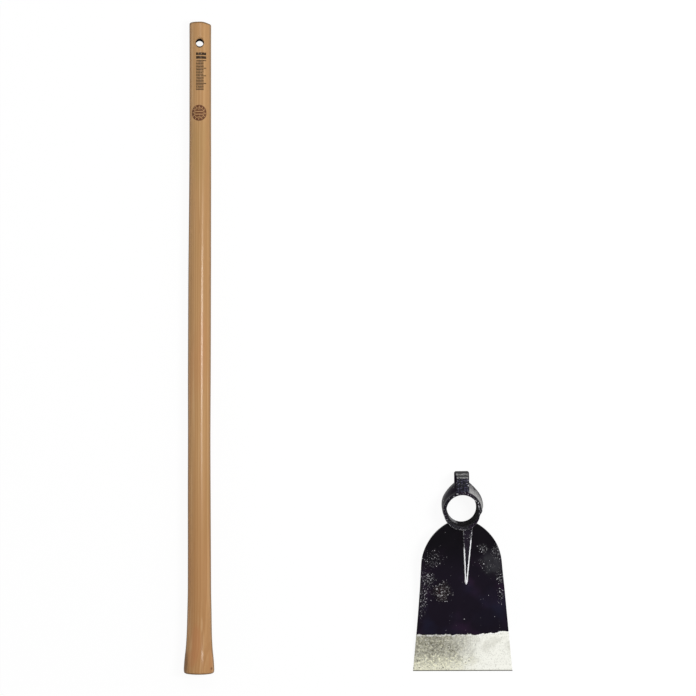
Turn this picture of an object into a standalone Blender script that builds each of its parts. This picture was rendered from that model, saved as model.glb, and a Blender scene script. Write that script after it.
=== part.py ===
"""Garden hoe, apart: a turned wooden handle and the forged steel head that slides down it.

Metres, +Z up. Both pieces lie on the plane z = 0 with the head's outer side up, and the
origin is the middle of the space that they cover. The handle lies along Y with its thin
end towards +Y. The head lies beside it at +X, resting on the inner rim of its eye and on
its cutting edge.
"""

from math import asin, atan2, cos, pi, radians, sin

import bmesh
import bpy
from mathutils import Matrix, Vector

MM = 0.001
GAP = 0.3 * MM              # room between neighbouring solids
ROUND_STEPS = 48            # faces round the eye
HANDLE_STEPS = 32           # faces round the handle
RUN_ON = 5.0 * MM           # how far a cutting tool runs past a face

# The space that both pieces cover, side to side
SPAN_X = 540.7 * MM

# Handle, measured from its thin end
HANDLE_LENGTH = 1067.0 * MM
THIN_RADIUS = 17.8 * MM
FLARE_RADIUS = 25.6 * MM
FLARE_WIDEST = 1062.0 * MM  # distance of the widest ring from the thin end
HANDLE_OUTLINE = [          # distance from the thin end and radius
    (0.0 * MM, 15.8 * MM),
    (1.0 * MM, 17.2 * MM),
    (3.0 * MM, THIN_RADIUS),
    (150.0 * MM, THIN_RADIUS),
    (300.0 * MM, 18.2 * MM),
    (420.0 * MM, 18.7 * MM),
    (560.0 * MM, 18.8 * MM),
    (680.0 * MM, 18.5 * MM),
    (780.0 * MM, 18.8 * MM),
    (930.0 * MM, 19.2 * MM),
    (965.0 * MM, 19.9 * MM),
    (995.0 * MM, 20.7 * MM),
    (1012.0 * MM, 21.5 * MM),
    (1028.0 * MM, 22.7 * MM),
    (1040.0 * MM, 24.1 * MM),
    (1050.0 * MM, 25.0 * MM),
    (FLARE_WIDEST, FLARE_RADIUS),
    (1065.5 * MM, 25.0 * MM),
    (HANDLE_LENGTH, 23.2 * MM),
]
HANG_HOLE_FROM_END = 34.6 * MM
HANG_HOLE_RADIUS = 6.4 * MM
HANG_HOLE_RIM = 2.4 * MM    # how far the countersunk rim widens the hole, and its depth
HANG_HOLE_STEPS = 24

# Head, in its own frame: X across, Y from the edge to the poll, Z out of the eye's wide end
HEAD_Y = -264.6 * MM        # where the middle of the eye lies
HEAD_TURN = radians(0.55)   # how the loose head lies turned on the surface
EYE_HALF_DEPTH = 25.0 * MM
EYE_NARROW_RADIUS = 24.0 * MM
EYE_WIDE_RADIUS = 26.4 * MM
INNER_RIM_RADIUS = 30.4 * MM
RIM_ROUND = 0.8 * MM
COLLAR_OUTLINE = [          # radius and height of the collar's outside, wide end first
    (30.8 * MM, EYE_HALF_DEPTH),
    (31.6 * MM, 24.0 * MM),
    (32.2 * MM, 16.0 * MM),
    (32.0 * MM, 2.0 * MM),
    (31.8 * MM, -10.0 * MM),
    (31.2 * MM, -22.6 * MM),
    (INNER_RIM_RADIUS, -EYE_HALF_DEPTH),
]

# Shoulders that carry the eye up to the poll: a straight slant, then an arc about a raised centre
SHOULDER_TOP = 42.0 * MM
SHOULDER_TOP_HALF = 11.9 * MM
SLANT_FOOT = (22.4 * MM, 30.9 * MM)
SHOULDER_RADIUS = 33.5 * MM
SHOULDER_RISE = 5.0 * MM    # how far the arc's centre lies above the eye's axis
SHOULDER_FROM = radians(38.0)
SHOULDER_TO = radians(-15.0)
SHOULDER_FOOT = (27.0 * MM, -8.0 * MM)
SHOULDER_ARC_STEPS = 8
SHOULDER_BACK = -21.0 * MM
SHOULDER_FRONT = 14.0 * MM

# Poll, the lug over the eye
POLL_WIDTH = 24.9 * MM
POLL_SHIFT = 0.6 * MM       # how far its middle stands to the right of the eye's axis
POLL_HALF_DEPTH = 22.0 * MM
POLL_TOP_FRONT = 54.1 * MM
POLL_TOP_BACK = 60.2 * MM
POLL_ROUND = 2.4 * MM
PAD_FOOT = 20.0 * MM        # where the poll's front runs down to on the collar

# Blade, in its own frame: X across, Y up the blade from its root, Z out of its outer side
BLADE_ROOT = Vector((0.0, -21.3 * MM, 15.5 * MM))
BLADE_DRAW_IN = radians(4.2)
BLADE_LENGTH = 248.5 * MM
NECK_HALF_WIDTH = 24.0 * MM
SHOULDER_END = 68.0 * MM    # where the curved shoulder meets the straight side
SIDE_HALF_WIDTH = 65.9 * MM
EDGE_HALF_WIDTH = 82.1 * MM
SHOULDER_BULGE = 10.2 * MM  # how far the shoulder's arc stands out from its chord
SHOULDER_STEPS = 8
BAND_HEIGHT = 61.6 * MM
ROOT_THICKNESS = 5.5 * MM
BAND_THICKNESS = 3.2 * MM
EDGE_THICKNESS = 1.4 * MM

# Rib on the outer side of the blade
RIB_TOP = 2.0 * MM          # distances down the blade from its root
RIB_TIP = 102.5 * MM
RIB_TOP_X = 8.3 * MM
RIB_TIP_X = 5.2 * MM
RIB_HALF_WIDTH = 7.6 * MM
RIB_HEIGHT = 6.6 * MM
RIB_TIP_RADIUS = 1.0 * MM
RIB_SIDES = 32

# Colours as linear red, green and blue
WOOD_COLOUR = (0.43, 0.24, 0.11)
LACQUER_COLOUR = (0.012, 0.010, 0.014)
STEEL_COLOUR = (0.52, 0.52, 0.53)


def clear_scene():
    """Remove whatever objects the scene starts with."""
    for item in list(bpy.data.objects):
        bpy.data.objects.remove(item, do_unlink=True)


def new_collection(name):
    """Return a new collection linked to the scene."""
    collection = bpy.data.collections.new(name)
    bpy.context.scene.collection.children.link(collection)
    return collection


def new_material(name, colour, roughness, metallic):
    """Return a Principled material."""
    material = bpy.data.materials.new(name)
    material.use_nodes = True
    shader = material.node_tree.nodes["Principled BSDF"]
    shader.inputs["Base Color"].default_value = (*colour, 1.0)
    shader.inputs["Roughness"].default_value = roughness
    shader.inputs["Metallic"].default_value = metallic
    return material


def new_object(name, data, collection, parent=None, matrix=None):
    """Link a new object, under its parent if it has one."""
    item = bpy.data.objects.new(name, data)
    collection.objects.link(item)
    item.parent = parent
    item.matrix_local = matrix or Matrix.Identity(4)
    return item


def turned(name, outline, steps, collection, parent=None, matrix=None):
    """Turn an outline of (radius, height) points, listed down its outer side, about local Z."""
    mesh = bpy.data.meshes.new(name)
    points = [(radius, 0.0, height) for radius, height in outline]
    mesh.from_pydata(points, [(i, i + 1) for i in range(len(points) - 1)], [])
    item = new_object(name, mesh, collection, parent, matrix)
    screw = item.modifiers.new("Turn", "SCREW")
    screw.steps = steps
    screw.render_steps = steps
    screw.use_merge_vertices = True
    screw.merge_threshold = 0.00001
    return item


def plate(name, outline, thickness_at, collection, parent=None, matrix=None):
    """Make a flat plate from an outline in local X and Y, with a thickness that varies along Y."""
    curve = bpy.data.curves.new(name, "CURVE")
    curve.dimensions = "2D"
    curve.fill_mode = "BOTH"
    curve.extrude = 0.5
    spline = curve.splines.new("POLY")
    spline.points.add(len(outline) - 1)
    for point, (x, y) in zip(spline.points, outline):
        point.co = (x, y, 0.0, 1.0)
    spline.use_cyclic_u = True
    guide = new_object(name + "_outline", curve, collection)
    depsgraph = bpy.context.evaluated_depsgraph_get()
    mesh = bpy.data.meshes.new_from_object(guide.evaluated_get(depsgraph))
    bpy.data.objects.remove(guide, do_unlink=True)
    mesh.name = name
    solid = bmesh.new()
    solid.from_mesh(mesh)
    bmesh.ops.remove_doubles(solid, verts=solid.verts, dist=0.00001)
    for vertex in solid.verts:
        vertex.co.z *= thickness_at(vertex.co.y)
    bmesh.ops.recalc_face_normals(solid, faces=solid.faces)
    solid.to_mesh(mesh)
    solid.free()
    return new_object(name, mesh, collection, parent, matrix)


def block(name, low, high, collection, parent=None, matrix=None):
    """Make a box between two corners, from the cube primitive."""
    low, high = Vector(low), Vector(high)
    solid = bmesh.new()
    bmesh.ops.create_cube(solid, size=1.0)
    bmesh.ops.scale(solid, vec=high - low, verts=solid.verts)
    bmesh.ops.translate(solid, vec=(low + high) / 2, verts=solid.verts)
    mesh = bpy.data.meshes.new(name)
    solid.to_mesh(mesh)
    solid.free()
    return new_object(name, mesh, collection, parent, matrix)


def combine(item, other, operation):
    """Join another solid to this one, or cut it away."""
    boolean = item.modifiers.new(operation.title(), "BOOLEAN")
    boolean.operation = operation
    boolean.object = other
    boolean.solver = "EXACT"
    other.hide_render = True
    other.display_type = "WIRE"


def settle(item, material):
    """Turn the modifiers into plain mesh, shade its round faces smooth, and give it its material."""
    depsgraph = bpy.context.evaluated_depsgraph_get()
    mesh = bpy.data.meshes.new_from_object(item.evaluated_get(depsgraph))
    mesh.name = item.name
    item.modifiers.clear()
    item.data = mesh
    mesh.shade_smooth()
    mesh.set_sharp_from_angle(angle=radians(32))
    mesh.materials.clear()
    mesh.materials.append(material)
    for face in mesh.polygons:
        face.material_index = 0


def handle_matrix():
    """Lay the handle along Y, resting on the widest ring of its flare and on its thin end."""
    slope = asin((FLARE_RADIUS - THIN_RADIUS) / FLARE_WIDEST)
    turn = Matrix.Rotation(-pi / 2 - slope, 4, "X")
    half = HANDLE_LENGTH / 2
    height = THIN_RADIUS * cos(slope) + half * sin(slope)
    place = Matrix.Translation((FLARE_RADIUS - SPAN_X / 2, 0.0, height))
    return place @ turn


def build_handle(parts, cutters, material):
    """Turn the handle and drill its hang hole, countersunk on both sides."""
    half = HANDLE_LENGTH / 2
    outline = [(radius, half - distance) for distance, radius in HANDLE_OUTLINE]
    outline = [(0.0, half)] + outline + [(0.0, -half)]
    matrix = handle_matrix()
    handle = turned("handle", outline, HANDLE_STEPS, parts, None, matrix)
    across = Matrix.Translation((0.0, 0.0, half - HANG_HOLE_FROM_END)) @ Matrix.Rotation(pi / 2, 4, "X")
    wide = HANG_HOLE_RADIUS + HANG_HOLE_RIM
    rim = THIN_RADIUS - HANG_HOLE_RIM
    far = THIN_RADIUS + RUN_ON
    upper = [(0.0, far), (wide, far), (wide, THIN_RADIUS), (HANG_HOLE_RADIUS, rim)]
    lower = [(radius, -height) for radius, height in reversed(upper)]
    drill = turned("hang_hole_drill", upper + lower, HANG_HOLE_STEPS, cutters, None, matrix @ across)
    combine(handle, drill, "DIFFERENCE")
    settle(handle, material)


def head_matrix():
    """Lay the head down on the inner rim of its eye and the inner corner of its cutting edge."""
    edge_y = -BLADE_LENGTH
    edge_z = -EDGE_THICKNESS / 2
    draw = BLADE_DRAW_IN
    edge_along = BLADE_ROOT.y + edge_y * cos(draw) - edge_z * sin(draw)
    edge_out = BLADE_ROOT.z + edge_y * sin(draw) + edge_z * cos(draw)
    tilt = atan2(edge_out + EYE_HALF_DEPTH, -INNER_RIM_RADIUS - edge_along)
    height = INNER_RIM_RADIUS * sin(tilt) + EYE_HALF_DEPTH * cos(tilt)
    turn = Matrix.Rotation(HEAD_TURN, 4, "Z") @ Matrix.Rotation(tilt, 4, "X")
    reach = (turn @ Vector((EDGE_HALF_WIDTH, edge_along, edge_out))).x
    return Matrix.Translation((SPAN_X / 2 - reach, HEAD_Y, height)) @ turn


def eye_outline():
    """List the eye's tapered wall with its softened rims, run on past both faces, wide end first."""
    face, past = EYE_HALF_DEPTH, EYE_HALF_DEPTH + RUN_ON
    wide, narrow = EYE_WIDE_RADIUS + RIM_ROUND, EYE_NARROW_RADIUS + RIM_ROUND
    wall = [
        (wide, past),
        (wide, face),
        (EYE_WIDE_RADIUS, face - RIM_ROUND),
        (EYE_NARROW_RADIUS, RIM_ROUND - face),
        (narrow, -face),
        (narrow, -past),
    ]
    return [(0.0, past)] + wall + [(0.0, -past)]


def barrel_outline(grow):
    """List the outside of the collar, grown all round, from the axis at the top to the axis below."""
    outline = [(radius + grow, height) for radius, height in COLLAR_OUTLINE]
    top, bottom = EYE_HALF_DEPTH + grow, -EYE_HALF_DEPTH - grow
    return [(0.0, top), (outline[0][0], top)] + outline[1:-1] + [(outline[-1][0], bottom), (0.0, bottom)]


def shoulder_side():
    """List one side of the eye's shoulders, from the top down: the slant, the arc and the foot."""
    sweep = (SHOULDER_TO - SHOULDER_FROM) / SHOULDER_ARC_STEPS
    angles = [SHOULDER_FROM + sweep * i for i in range(SHOULDER_ARC_STEPS + 1)]
    arc = [(SHOULDER_RADIUS * cos(a), SHOULDER_RISE + SHOULDER_RADIUS * sin(a)) for a in angles]
    return [(SHOULDER_TOP_HALF, SHOULDER_TOP), SLANT_FOOT] + arc + [SHOULDER_FOOT]


def build_collar(parts, cutters, head, material):
    """Turn the collar, add its shoulders and the pad under the poll, and open the eye through all of it."""
    collar = turned("eye_collar", barrel_outline(0.0), ROUND_STEPS, parts, head)
    depth = SHOULDER_FRONT - SHOULDER_BACK
    middle = Matrix.Translation((0.0, 0.0, (SHOULDER_FRONT + SHOULDER_BACK) / 2))
    outline = both_sides(shoulder_side())
    shoulders = plate("collar_shoulders", outline, lambda y: depth, cutters, head, middle)
    pad_half = POLL_WIDTH / 2
    pad = block(
        "poll_pad",
        (POLL_SHIFT - pad_half, PAD_FOOT, -POLL_HALF_DEPTH),
        (POLL_SHIFT + pad_half, SHOULDER_TOP, POLL_HALF_DEPTH),
        cutters,
        head,
    )
    tool = turned("eye_tool", eye_outline(), ROUND_STEPS, cutters, head)
    combine(collar, shoulders, "UNION")
    combine(collar, pad, "UNION")
    combine(collar, tool, "DIFFERENCE")
    settle(collar, material)


def build_poll(parts, head, material):
    """Shape the poll from a block: its top slopes towards the outer side, and its edges are rounded."""
    half = POLL_WIDTH / 2
    poll = block(
        "poll",
        (POLL_SHIFT - half, SHOULDER_TOP + GAP, -POLL_HALF_DEPTH),
        (POLL_SHIFT + half, POLL_TOP_BACK, POLL_HALF_DEPTH),
        parts,
        head,
    )
    solid = bmesh.new()
    solid.from_mesh(poll.data)
    top = [vertex for vertex in solid.verts if vertex.co.y > POLL_TOP_FRONT]
    for vertex in top:
        if vertex.co.z > 0.0:
            vertex.co.y = POLL_TOP_FRONT
    edges = {edge for vertex in top for edge in vertex.link_edges}
    bmesh.ops.bevel(solid, geom=list(edges), offset=POLL_ROUND, segments=2, profile=0.5, affect="EDGES")
    solid.to_mesh(poll.data)
    solid.free()
    settle(poll, material)


def side_half_width(distance):
    """Half the blade's width in its straight-sided part, at a distance down from its root."""
    share = (distance - SHOULDER_END) / (BLADE_LENGTH - SHOULDER_END)
    return SIDE_HALF_WIDTH + (EDGE_HALF_WIDTH - SIDE_HALF_WIDTH) * share


def shoulder_arc():
    """List the points of one curved shoulder, an arc from the neck to the straight side."""
    start, end = Vector((NECK_HALF_WIDTH, 0.0)), Vector((SIDE_HALF_WIDTH, -SHOULDER_END))
    chord = end - start
    half = chord.length / 2
    radius = (half * half + SHOULDER_BULGE * SHOULDER_BULGE) / (2 * SHOULDER_BULGE)
    outward = Vector((-chord.y, chord.x)).normalized()
    centre = start + chord / 2 - outward * (radius - SHOULDER_BULGE)
    sweep = 2 * asin(half / radius)
    first = atan2(start.y - centre.y, start.x - centre.x)
    angles = [first - sweep * i / SHOULDER_STEPS for i in range(SHOULDER_STEPS + 1)]
    return [(centre.x + radius * cos(a), centre.y + radius * sin(a)) for a in angles]


def both_sides(right):
    """Close an outline from its right half, listed from the top down."""
    return right + [(-x, y) for x, y in reversed(right)]


def taper(top, top_thickness, bottom, bottom_thickness):
    """Return a thickness that runs evenly between two places along local Y."""
    def thickness(y):
        share = (y - top) / (bottom - top)
        return top_thickness + (bottom_thickness - top_thickness) * share
    return thickness


def build_blade(parts, cutters, blade_frame, head, lacquer, steel):
    """Make the blade's tapered plate and, below it, the ground band with the cutting edge."""
    band_top = BLADE_LENGTH - BAND_HEIGHT
    upper = shoulder_arc() + [(side_half_width(band_top), -band_top)]
    upper_taper = taper(0.0, ROOT_THICKNESS, -band_top, BAND_THICKNESS)
    blade = plate("blade", both_sides(upper), upper_taper, parts, blade_frame)
    room = turned("collar_room", barrel_outline(GAP), ROUND_STEPS, cutters, head)
    combine(blade, room, "DIFFERENCE")
    settle(blade, lacquer)
    lower = [(side_half_width(band_top + GAP), -band_top - GAP), (EDGE_HALF_WIDTH, -BLADE_LENGTH)]
    lower_taper = taper(-band_top, BAND_THICKNESS, -BLADE_LENGTH, EDGE_THICKNESS)
    edge = plate("cutting_edge", both_sides(lower), lower_taper, parts, blade_frame)
    settle(edge, steel)
    return room


def build_rib(parts, cutters, blade_frame, room, material):
    """Lay half a cone on the outer side of the blade, from under the eye's lip down to a point."""
    length = RIB_TIP - RIB_TOP
    solid = bmesh.new()
    bmesh.ops.create_cone(
        solid, cap_ends=True, segments=RIB_SIDES, radius1=RIB_TIP_RADIUS, radius2=RIB_HALF_WIDTH, depth=length
    )
    mesh = bpy.data.meshes.new("spine_rib")
    solid.to_mesh(mesh)
    solid.free()
    fall = (ROOT_THICKNESS - BAND_THICKNESS) / 2 / (BLADE_LENGTH - BAND_HEIGHT)
    middle = (RIB_TOP + RIB_TIP) / 2
    surface = ROOT_THICKNESS / 2 - fall * middle
    lean = atan2(RIB_TOP_X - RIB_TIP_X, length)
    place = (
        Matrix.Translation(((RIB_TOP_X + RIB_TIP_X) / 2, -middle, surface))
        @ Matrix.Rotation(atan2(fall, 1.0), 4, "X")
        @ Matrix.Rotation(-lean, 4, "Z")
    )
    squash = Matrix.Diagonal((1.0, 1.0, RIB_HEIGHT / RIB_HALF_WIDTH, 1.0))
    mesh.transform(squash @ Matrix.Rotation(-pi / 2, 4, "X"))
    rib = new_object("spine_rib", mesh, parts, blade_frame, place)
    wide = 2 * RIB_HALF_WIDTH
    below = block(
        "blade_room", (-wide, -length, -wide), (wide, length, GAP), cutters, blade_frame, place
    )
    combine(rib, below, "DIFFERENCE")
    combine(rib, room, "DIFFERENCE")
    settle(rib, material)


def main():
    """Build the hoe."""
    clear_scene()
    parts = new_collection("garden_hoe")
    cutters = new_collection("cutters")
    wood = new_material("lacquered_wood", WOOD_COLOUR, 0.45, 0.0)
    lacquer = new_material("black_lacquer", LACQUER_COLOUR, 0.35, 0.0)
    steel = new_material("ground_steel", STEEL_COLOUR, 0.35, 1.0)
    build_handle(parts, cutters, wood)
    head = new_object("head_frame", None, parts, None, head_matrix())
    draw_in = Matrix.Translation(BLADE_ROOT) @ Matrix.Rotation(BLADE_DRAW_IN, 4, "X")
    blade_frame = new_object("blade_frame", None, parts, head, draw_in)
    bpy.context.view_layer.update()
    build_collar(parts, cutters, head, lacquer)
    build_poll(parts, head, lacquer)
    room = build_blade(parts, cutters, blade_frame, head, lacquer, steel)
    build_rib(parts, cutters, blade_frame, room, lacquer)


main()
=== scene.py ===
"""Garden hoe laid out apart: a turned hardwood handle and a forged head, on a pale floor under soft light.

The shapes are numpy surfaces. Each is worked out in the frame of the piece that it belongs to, in metres,
and is then carried to its place by that frame's matrix, so every finished object sits at the origin.
"""

import logging
from dataclasses import dataclass, field
from enum import Enum
from functools import reduce
from math import asin, atan2, cos, pi, radians, sin
from typing import Optional, Union

import bmesh
import bpy
import numpy as np
from mathutils import Matrix, Vector


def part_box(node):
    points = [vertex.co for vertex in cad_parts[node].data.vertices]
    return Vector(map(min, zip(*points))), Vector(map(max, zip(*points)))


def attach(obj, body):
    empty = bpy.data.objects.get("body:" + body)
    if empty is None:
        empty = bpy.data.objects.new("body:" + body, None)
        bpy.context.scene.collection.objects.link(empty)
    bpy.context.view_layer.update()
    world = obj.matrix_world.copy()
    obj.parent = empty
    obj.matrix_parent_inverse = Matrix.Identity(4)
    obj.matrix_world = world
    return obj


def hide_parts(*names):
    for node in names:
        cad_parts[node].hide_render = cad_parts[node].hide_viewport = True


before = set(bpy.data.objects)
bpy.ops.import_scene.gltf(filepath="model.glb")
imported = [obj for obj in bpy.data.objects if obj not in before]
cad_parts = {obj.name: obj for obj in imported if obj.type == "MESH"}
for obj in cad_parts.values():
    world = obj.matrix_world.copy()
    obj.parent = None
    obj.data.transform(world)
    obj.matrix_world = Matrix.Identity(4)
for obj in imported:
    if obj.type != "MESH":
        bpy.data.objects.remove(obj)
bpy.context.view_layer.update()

MM = 0.001
WHITE = (1.0, 1.0, 1.0)
LOG = logging.getLogger("hoe")
CELL_PRIMES = (73856093, 19349663, 83492791)
SEED_PRIME, MIX_PRIMES, FULL_WORD = 2654435761, ((13, 1274126177), (16, 2246822519)), 0xFFFFFFFF
MERGE, SLIVER, TINY = 0.005 * MM, 0.004 * MM, 1e-30

Colour = tuple[float, float, float]
Pair = tuple[float, float]
Value = Union["Wire", float, Colour]


class Body(Enum):
    """The bodies that the pieces ride on."""

    HANDLE = "handle"
    HEAD = "head"


class Slot(Enum):
    """The record's material slots."""

    WOOD = "lacquered_wood"
    LACQUER = "black_lacquer"
    STEEL = "ground_steel"


class Mix(Enum):
    """What a Mix node mixes: its data type, its first input socket and its output."""

    NUMBER = ("FLOAT", 2, 0)
    VECTOR = ("VECTOR", 4, 1)
    COLOUR = ("RGBA", 6, 2)


def smoothstep(low: float, high: float, value: np.ndarray) -> np.ndarray:
    """Ease from 0 at low to 1 at high with the cubic 3x^2 - 2x^3."""
    share = np.clip((value - low) / (high - low), 0.0, 1.0)
    return share * share * (3.0 - 2.0 * share)


def lattice_hash(cells: np.ndarray, seed: int) -> np.ndarray:
    """Give each cell of an integer lattice its own fixed number, by mixing its three indices.

    Args:
        cells: Integer cell indices, with three in the last axis.
        seed: A number that picks one pattern of the many.

    Returns:
        Numbers from 0 to 1, one for each cell.
    """
    x, y, z = np.moveaxis(cells.astype(np.int64), -1, 0)
    mixed = x * CELL_PRIMES[0] ^ y * CELL_PRIMES[1] ^ z * CELL_PRIMES[2] ^ seed * SEED_PRIME
    for shift, prime in MIX_PRIMES:
        mixed = (mixed ^ (mixed >> shift)) * prime & FULL_WORD
    return (mixed ^ (mixed >> 15)) / float(FULL_WORD)


def value_noise(points: np.ndarray, pitch: float, seed: int) -> np.ndarray:
    """Smooth noise: random numbers on a cubic lattice, blended with eased weights between its corners.

    Args:
        points: Places in metres, with x, y and z in the last axis.
        pitch: The lattice's spacing in metres.
        seed: Which pattern.

    Returns:
        Noise from -1 to 1 at each place.
    """
    scaled = points / pitch
    base = np.floor(scaled).astype(np.int64)
    part = scaled - base
    ease = part * part * (3.0 - 2.0 * part)
    total = np.zeros(points.shape[:-1])
    for corner in np.ndindex(2, 2, 2):
        step = np.array(corner)
        weight = np.prod(np.where(step == 1, ease, 1.0 - ease), axis=-1)
        total += weight * lattice_hash(base + step, seed)
    return total * 2.0 - 1.0


def rough_noise(points: np.ndarray, pitch: float, octaves: int, seed: int) -> np.ndarray:
    """Sum octaves of smooth noise, each half the pitch and half the height of the one before."""
    layers = [value_noise(points, pitch / 2**i, seed + i) / 2**i for i in range(octaves)]
    return sum(layers) / (2.0 - 2.0 ** (1 - octaves))


def dimples(points: np.ndarray, pitch: float, seed: int) -> np.ndarray:
    """Hammer marks: the distance to the nearest of one random point in each lattice cell.

    Args:
        points: Places in metres.
        pitch: The cell size, which is about the size of a mark.
        seed: Which pattern.

    Returns:
        0 in the middle of a mark, and about 1 on the ridges between marks.
    """
    scaled = points / pitch
    base = np.floor(scaled).astype(np.int64)
    least = np.full(points.shape[:-1], np.inf)
    for offset in np.ndindex(3, 3, 3):
        cell = base + np.array(offset) - 1
        centre = cell + np.stack([lattice_hash(cell, seed + i) for i in range(3)], axis=-1)
        least = np.minimum(least, np.sum((scaled - centre) ** 2, axis=-1))
    return np.clip(np.sqrt(least), 0.0, 1.0)


def through(stations: np.ndarray, values: np.ndarray, at: np.ndarray) -> np.ndarray:
    """Draw a smooth curve through given points: cubic Hermite pieces with limited central slopes.

    Args:
        stations: The places of the points, rising.
        values: Their values.
        at: The places to read.

    Returns:
        The curve's value at each place.
    """
    chord = np.diff(values) / np.diff(stations)
    one, two = chord[:-1], chord[1:]
    inner = np.where(one * two > 0, 2 * one * two / (one + two + TINY), 0.0)
    slope = np.concatenate([chord[:1], inner, chord[-1:]])
    cell = np.clip(np.searchsorted(stations, at, side="right") - 1, 0, len(stations) - 2)
    width = stations[cell + 1] - stations[cell]
    share = (at - stations[cell]) / width
    square, cube = share**2, share**3
    return (
        (2 * cube - 3 * square + 1) * values[cell]
        + (cube - 2 * square + share) * width * slope[cell]
        + (3 * square - 2 * cube) * values[cell + 1]
        + (cube - square) * width * slope[cell + 1]
    )


def ring_spline(count: int, samples: int) -> np.ndarray:
    """Weights of a closed uniform cubic B-spline: each sample leans on its four nearest control points.

    Args:
        count: Number of control points round the loop.
        samples: Number of samples round the loop.

    Returns:
        A matrix of samples by control points.
    """
    place = np.arange(samples) * count / samples
    cell = np.floor(place).astype(int)
    t = place - cell
    weights = np.zeros((samples, count))
    pieces = [(1 - t) ** 3, 3 * t**3 - 6 * t**2 + 4, -3 * t**3 + 3 * t**2 + 3 * t + 1, t**3]
    for shift, piece in enumerate(pieces):
        weights[np.arange(samples), (cell + shift - 1) % count] += piece / 6
    return weights


def numbered(points: np.ndarray, first: int = 0) -> np.ndarray:
    """Number the vertices of a grid of points, row by row."""
    return first + np.arange(points.shape[0] * points.shape[1]).reshape(points.shape[:2])


def grid_faces(index: np.ndarray, wrap: bool) -> np.ndarray:
    """List the quads of a grid of vertices.

    Args:
        index: Vertex numbers, in rows and columns.
        wrap: Whether the last column joins the first.

    Returns:
        Four vertex numbers for each quad.
    """
    if wrap:
        index = np.concatenate([index, index[:, :1]], axis=1)
    return np.stack([index[:-1, :-1], index[:-1, 1:], index[1:, 1:], index[1:, :-1]], axis=-1).reshape(-1, 4)


def place_points(points: np.ndarray, matrix: Matrix) -> np.ndarray:
    """Carry points from a frame to the scene: each is turned and shifted by the frame's matrix."""
    table = np.array(matrix)
    return points.reshape(-1, 3) @ table[:3, :3].T + table[:3, 3]


def read_vectors(items: bpy.types.bpy_prop_collection, name: str) -> np.ndarray:
    """Read a vector of each vertex or face of a mesh.

    Args:
        items: The mesh's vertices, faces or normals.
        name: Which vector of each.

    Returns:
        The vectors, one to a row.
    """
    values = np.empty(len(items) * 3, np.float32)
    items.foreach_get(name, values)
    return values.reshape(-1, 3).astype(float)


def new_piece(
    name: str, points: np.ndarray, matrix: Matrix, faces: list[np.ndarray], sharp: float
) -> bpy.types.Object:
    """Make an object from vertices and quads, close its seams and poles, and turn its faces outwards.

    Args:
        name: The piece's name.
        points: Vertices in the piece's own frame.
        matrix: That frame's place in the scene.
        faces: Arrays of vertex numbers, four to a face.
        sharp: Edges that turn by more than this angle, in degrees, stay crisp.

    Returns:
        The new object.
    """
    mesh = bpy.data.meshes.new(name)
    mesh.from_pydata(place_points(points, matrix), [], np.concatenate(faces).tolist())
    solid = bmesh.new()
    solid.from_mesh(mesh)
    bmesh.ops.remove_doubles(solid, verts=solid.verts, dist=MERGE)
    bmesh.ops.dissolve_degenerate(solid, edges=solid.edges, dist=SLIVER)
    bmesh.ops.recalc_face_normals(solid, faces=solid.faces)
    solid.to_mesh(mesh)
    solid.free()
    mesh.shade_smooth()
    mesh.set_sharp_from_angle(angle=radians(sharp))
    piece = bpy.data.objects.new(name, mesh)
    bpy.context.scene.collection.objects.link(piece)
    return piece


def roughen(piece: bpy.types.Object, height: np.ndarray) -> None:
    """Push each vertex along its own normal.

    Args:
        piece: The object to change.
        height: How far each vertex moves, in metres.
    """
    mesh = piece.data
    moved = read_vectors(mesh.vertices, "co") + read_vectors(mesh.vertex_normals, "vector") * height[:, None]
    mesh.vertices.foreach_set("co", moved.astype(np.float32).ravel())
    mesh.update()


def second_skin(piece: bpy.types.Object, material: bpy.types.Material, chosen: np.ndarray) -> None:
    """Give the chosen faces of a piece, which has its first material, a second one."""
    piece.data.materials.append(material)
    piece.data.polygons.foreach_set("material_index", chosen.astype(np.int32))


def dress(
    piece: bpy.types.Object, body: Body, slot: Slot, node: str, material: bpy.types.Material
) -> None:
    """Give a piece its looks and its part in the model.

    Args:
        piece: The piece.
        body: The body that it rides on.
        slot: The slot that its finish belongs to; not used.
        node: The CAD node that it stands for.
        material: Its finish.
    """
    piece.data.materials.append(material)
    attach(piece, body.value)
    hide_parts(node)
    LOG.info("%s: %d vertices, rides on %s", piece.name, len(piece.data.vertices), body.value)


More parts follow.
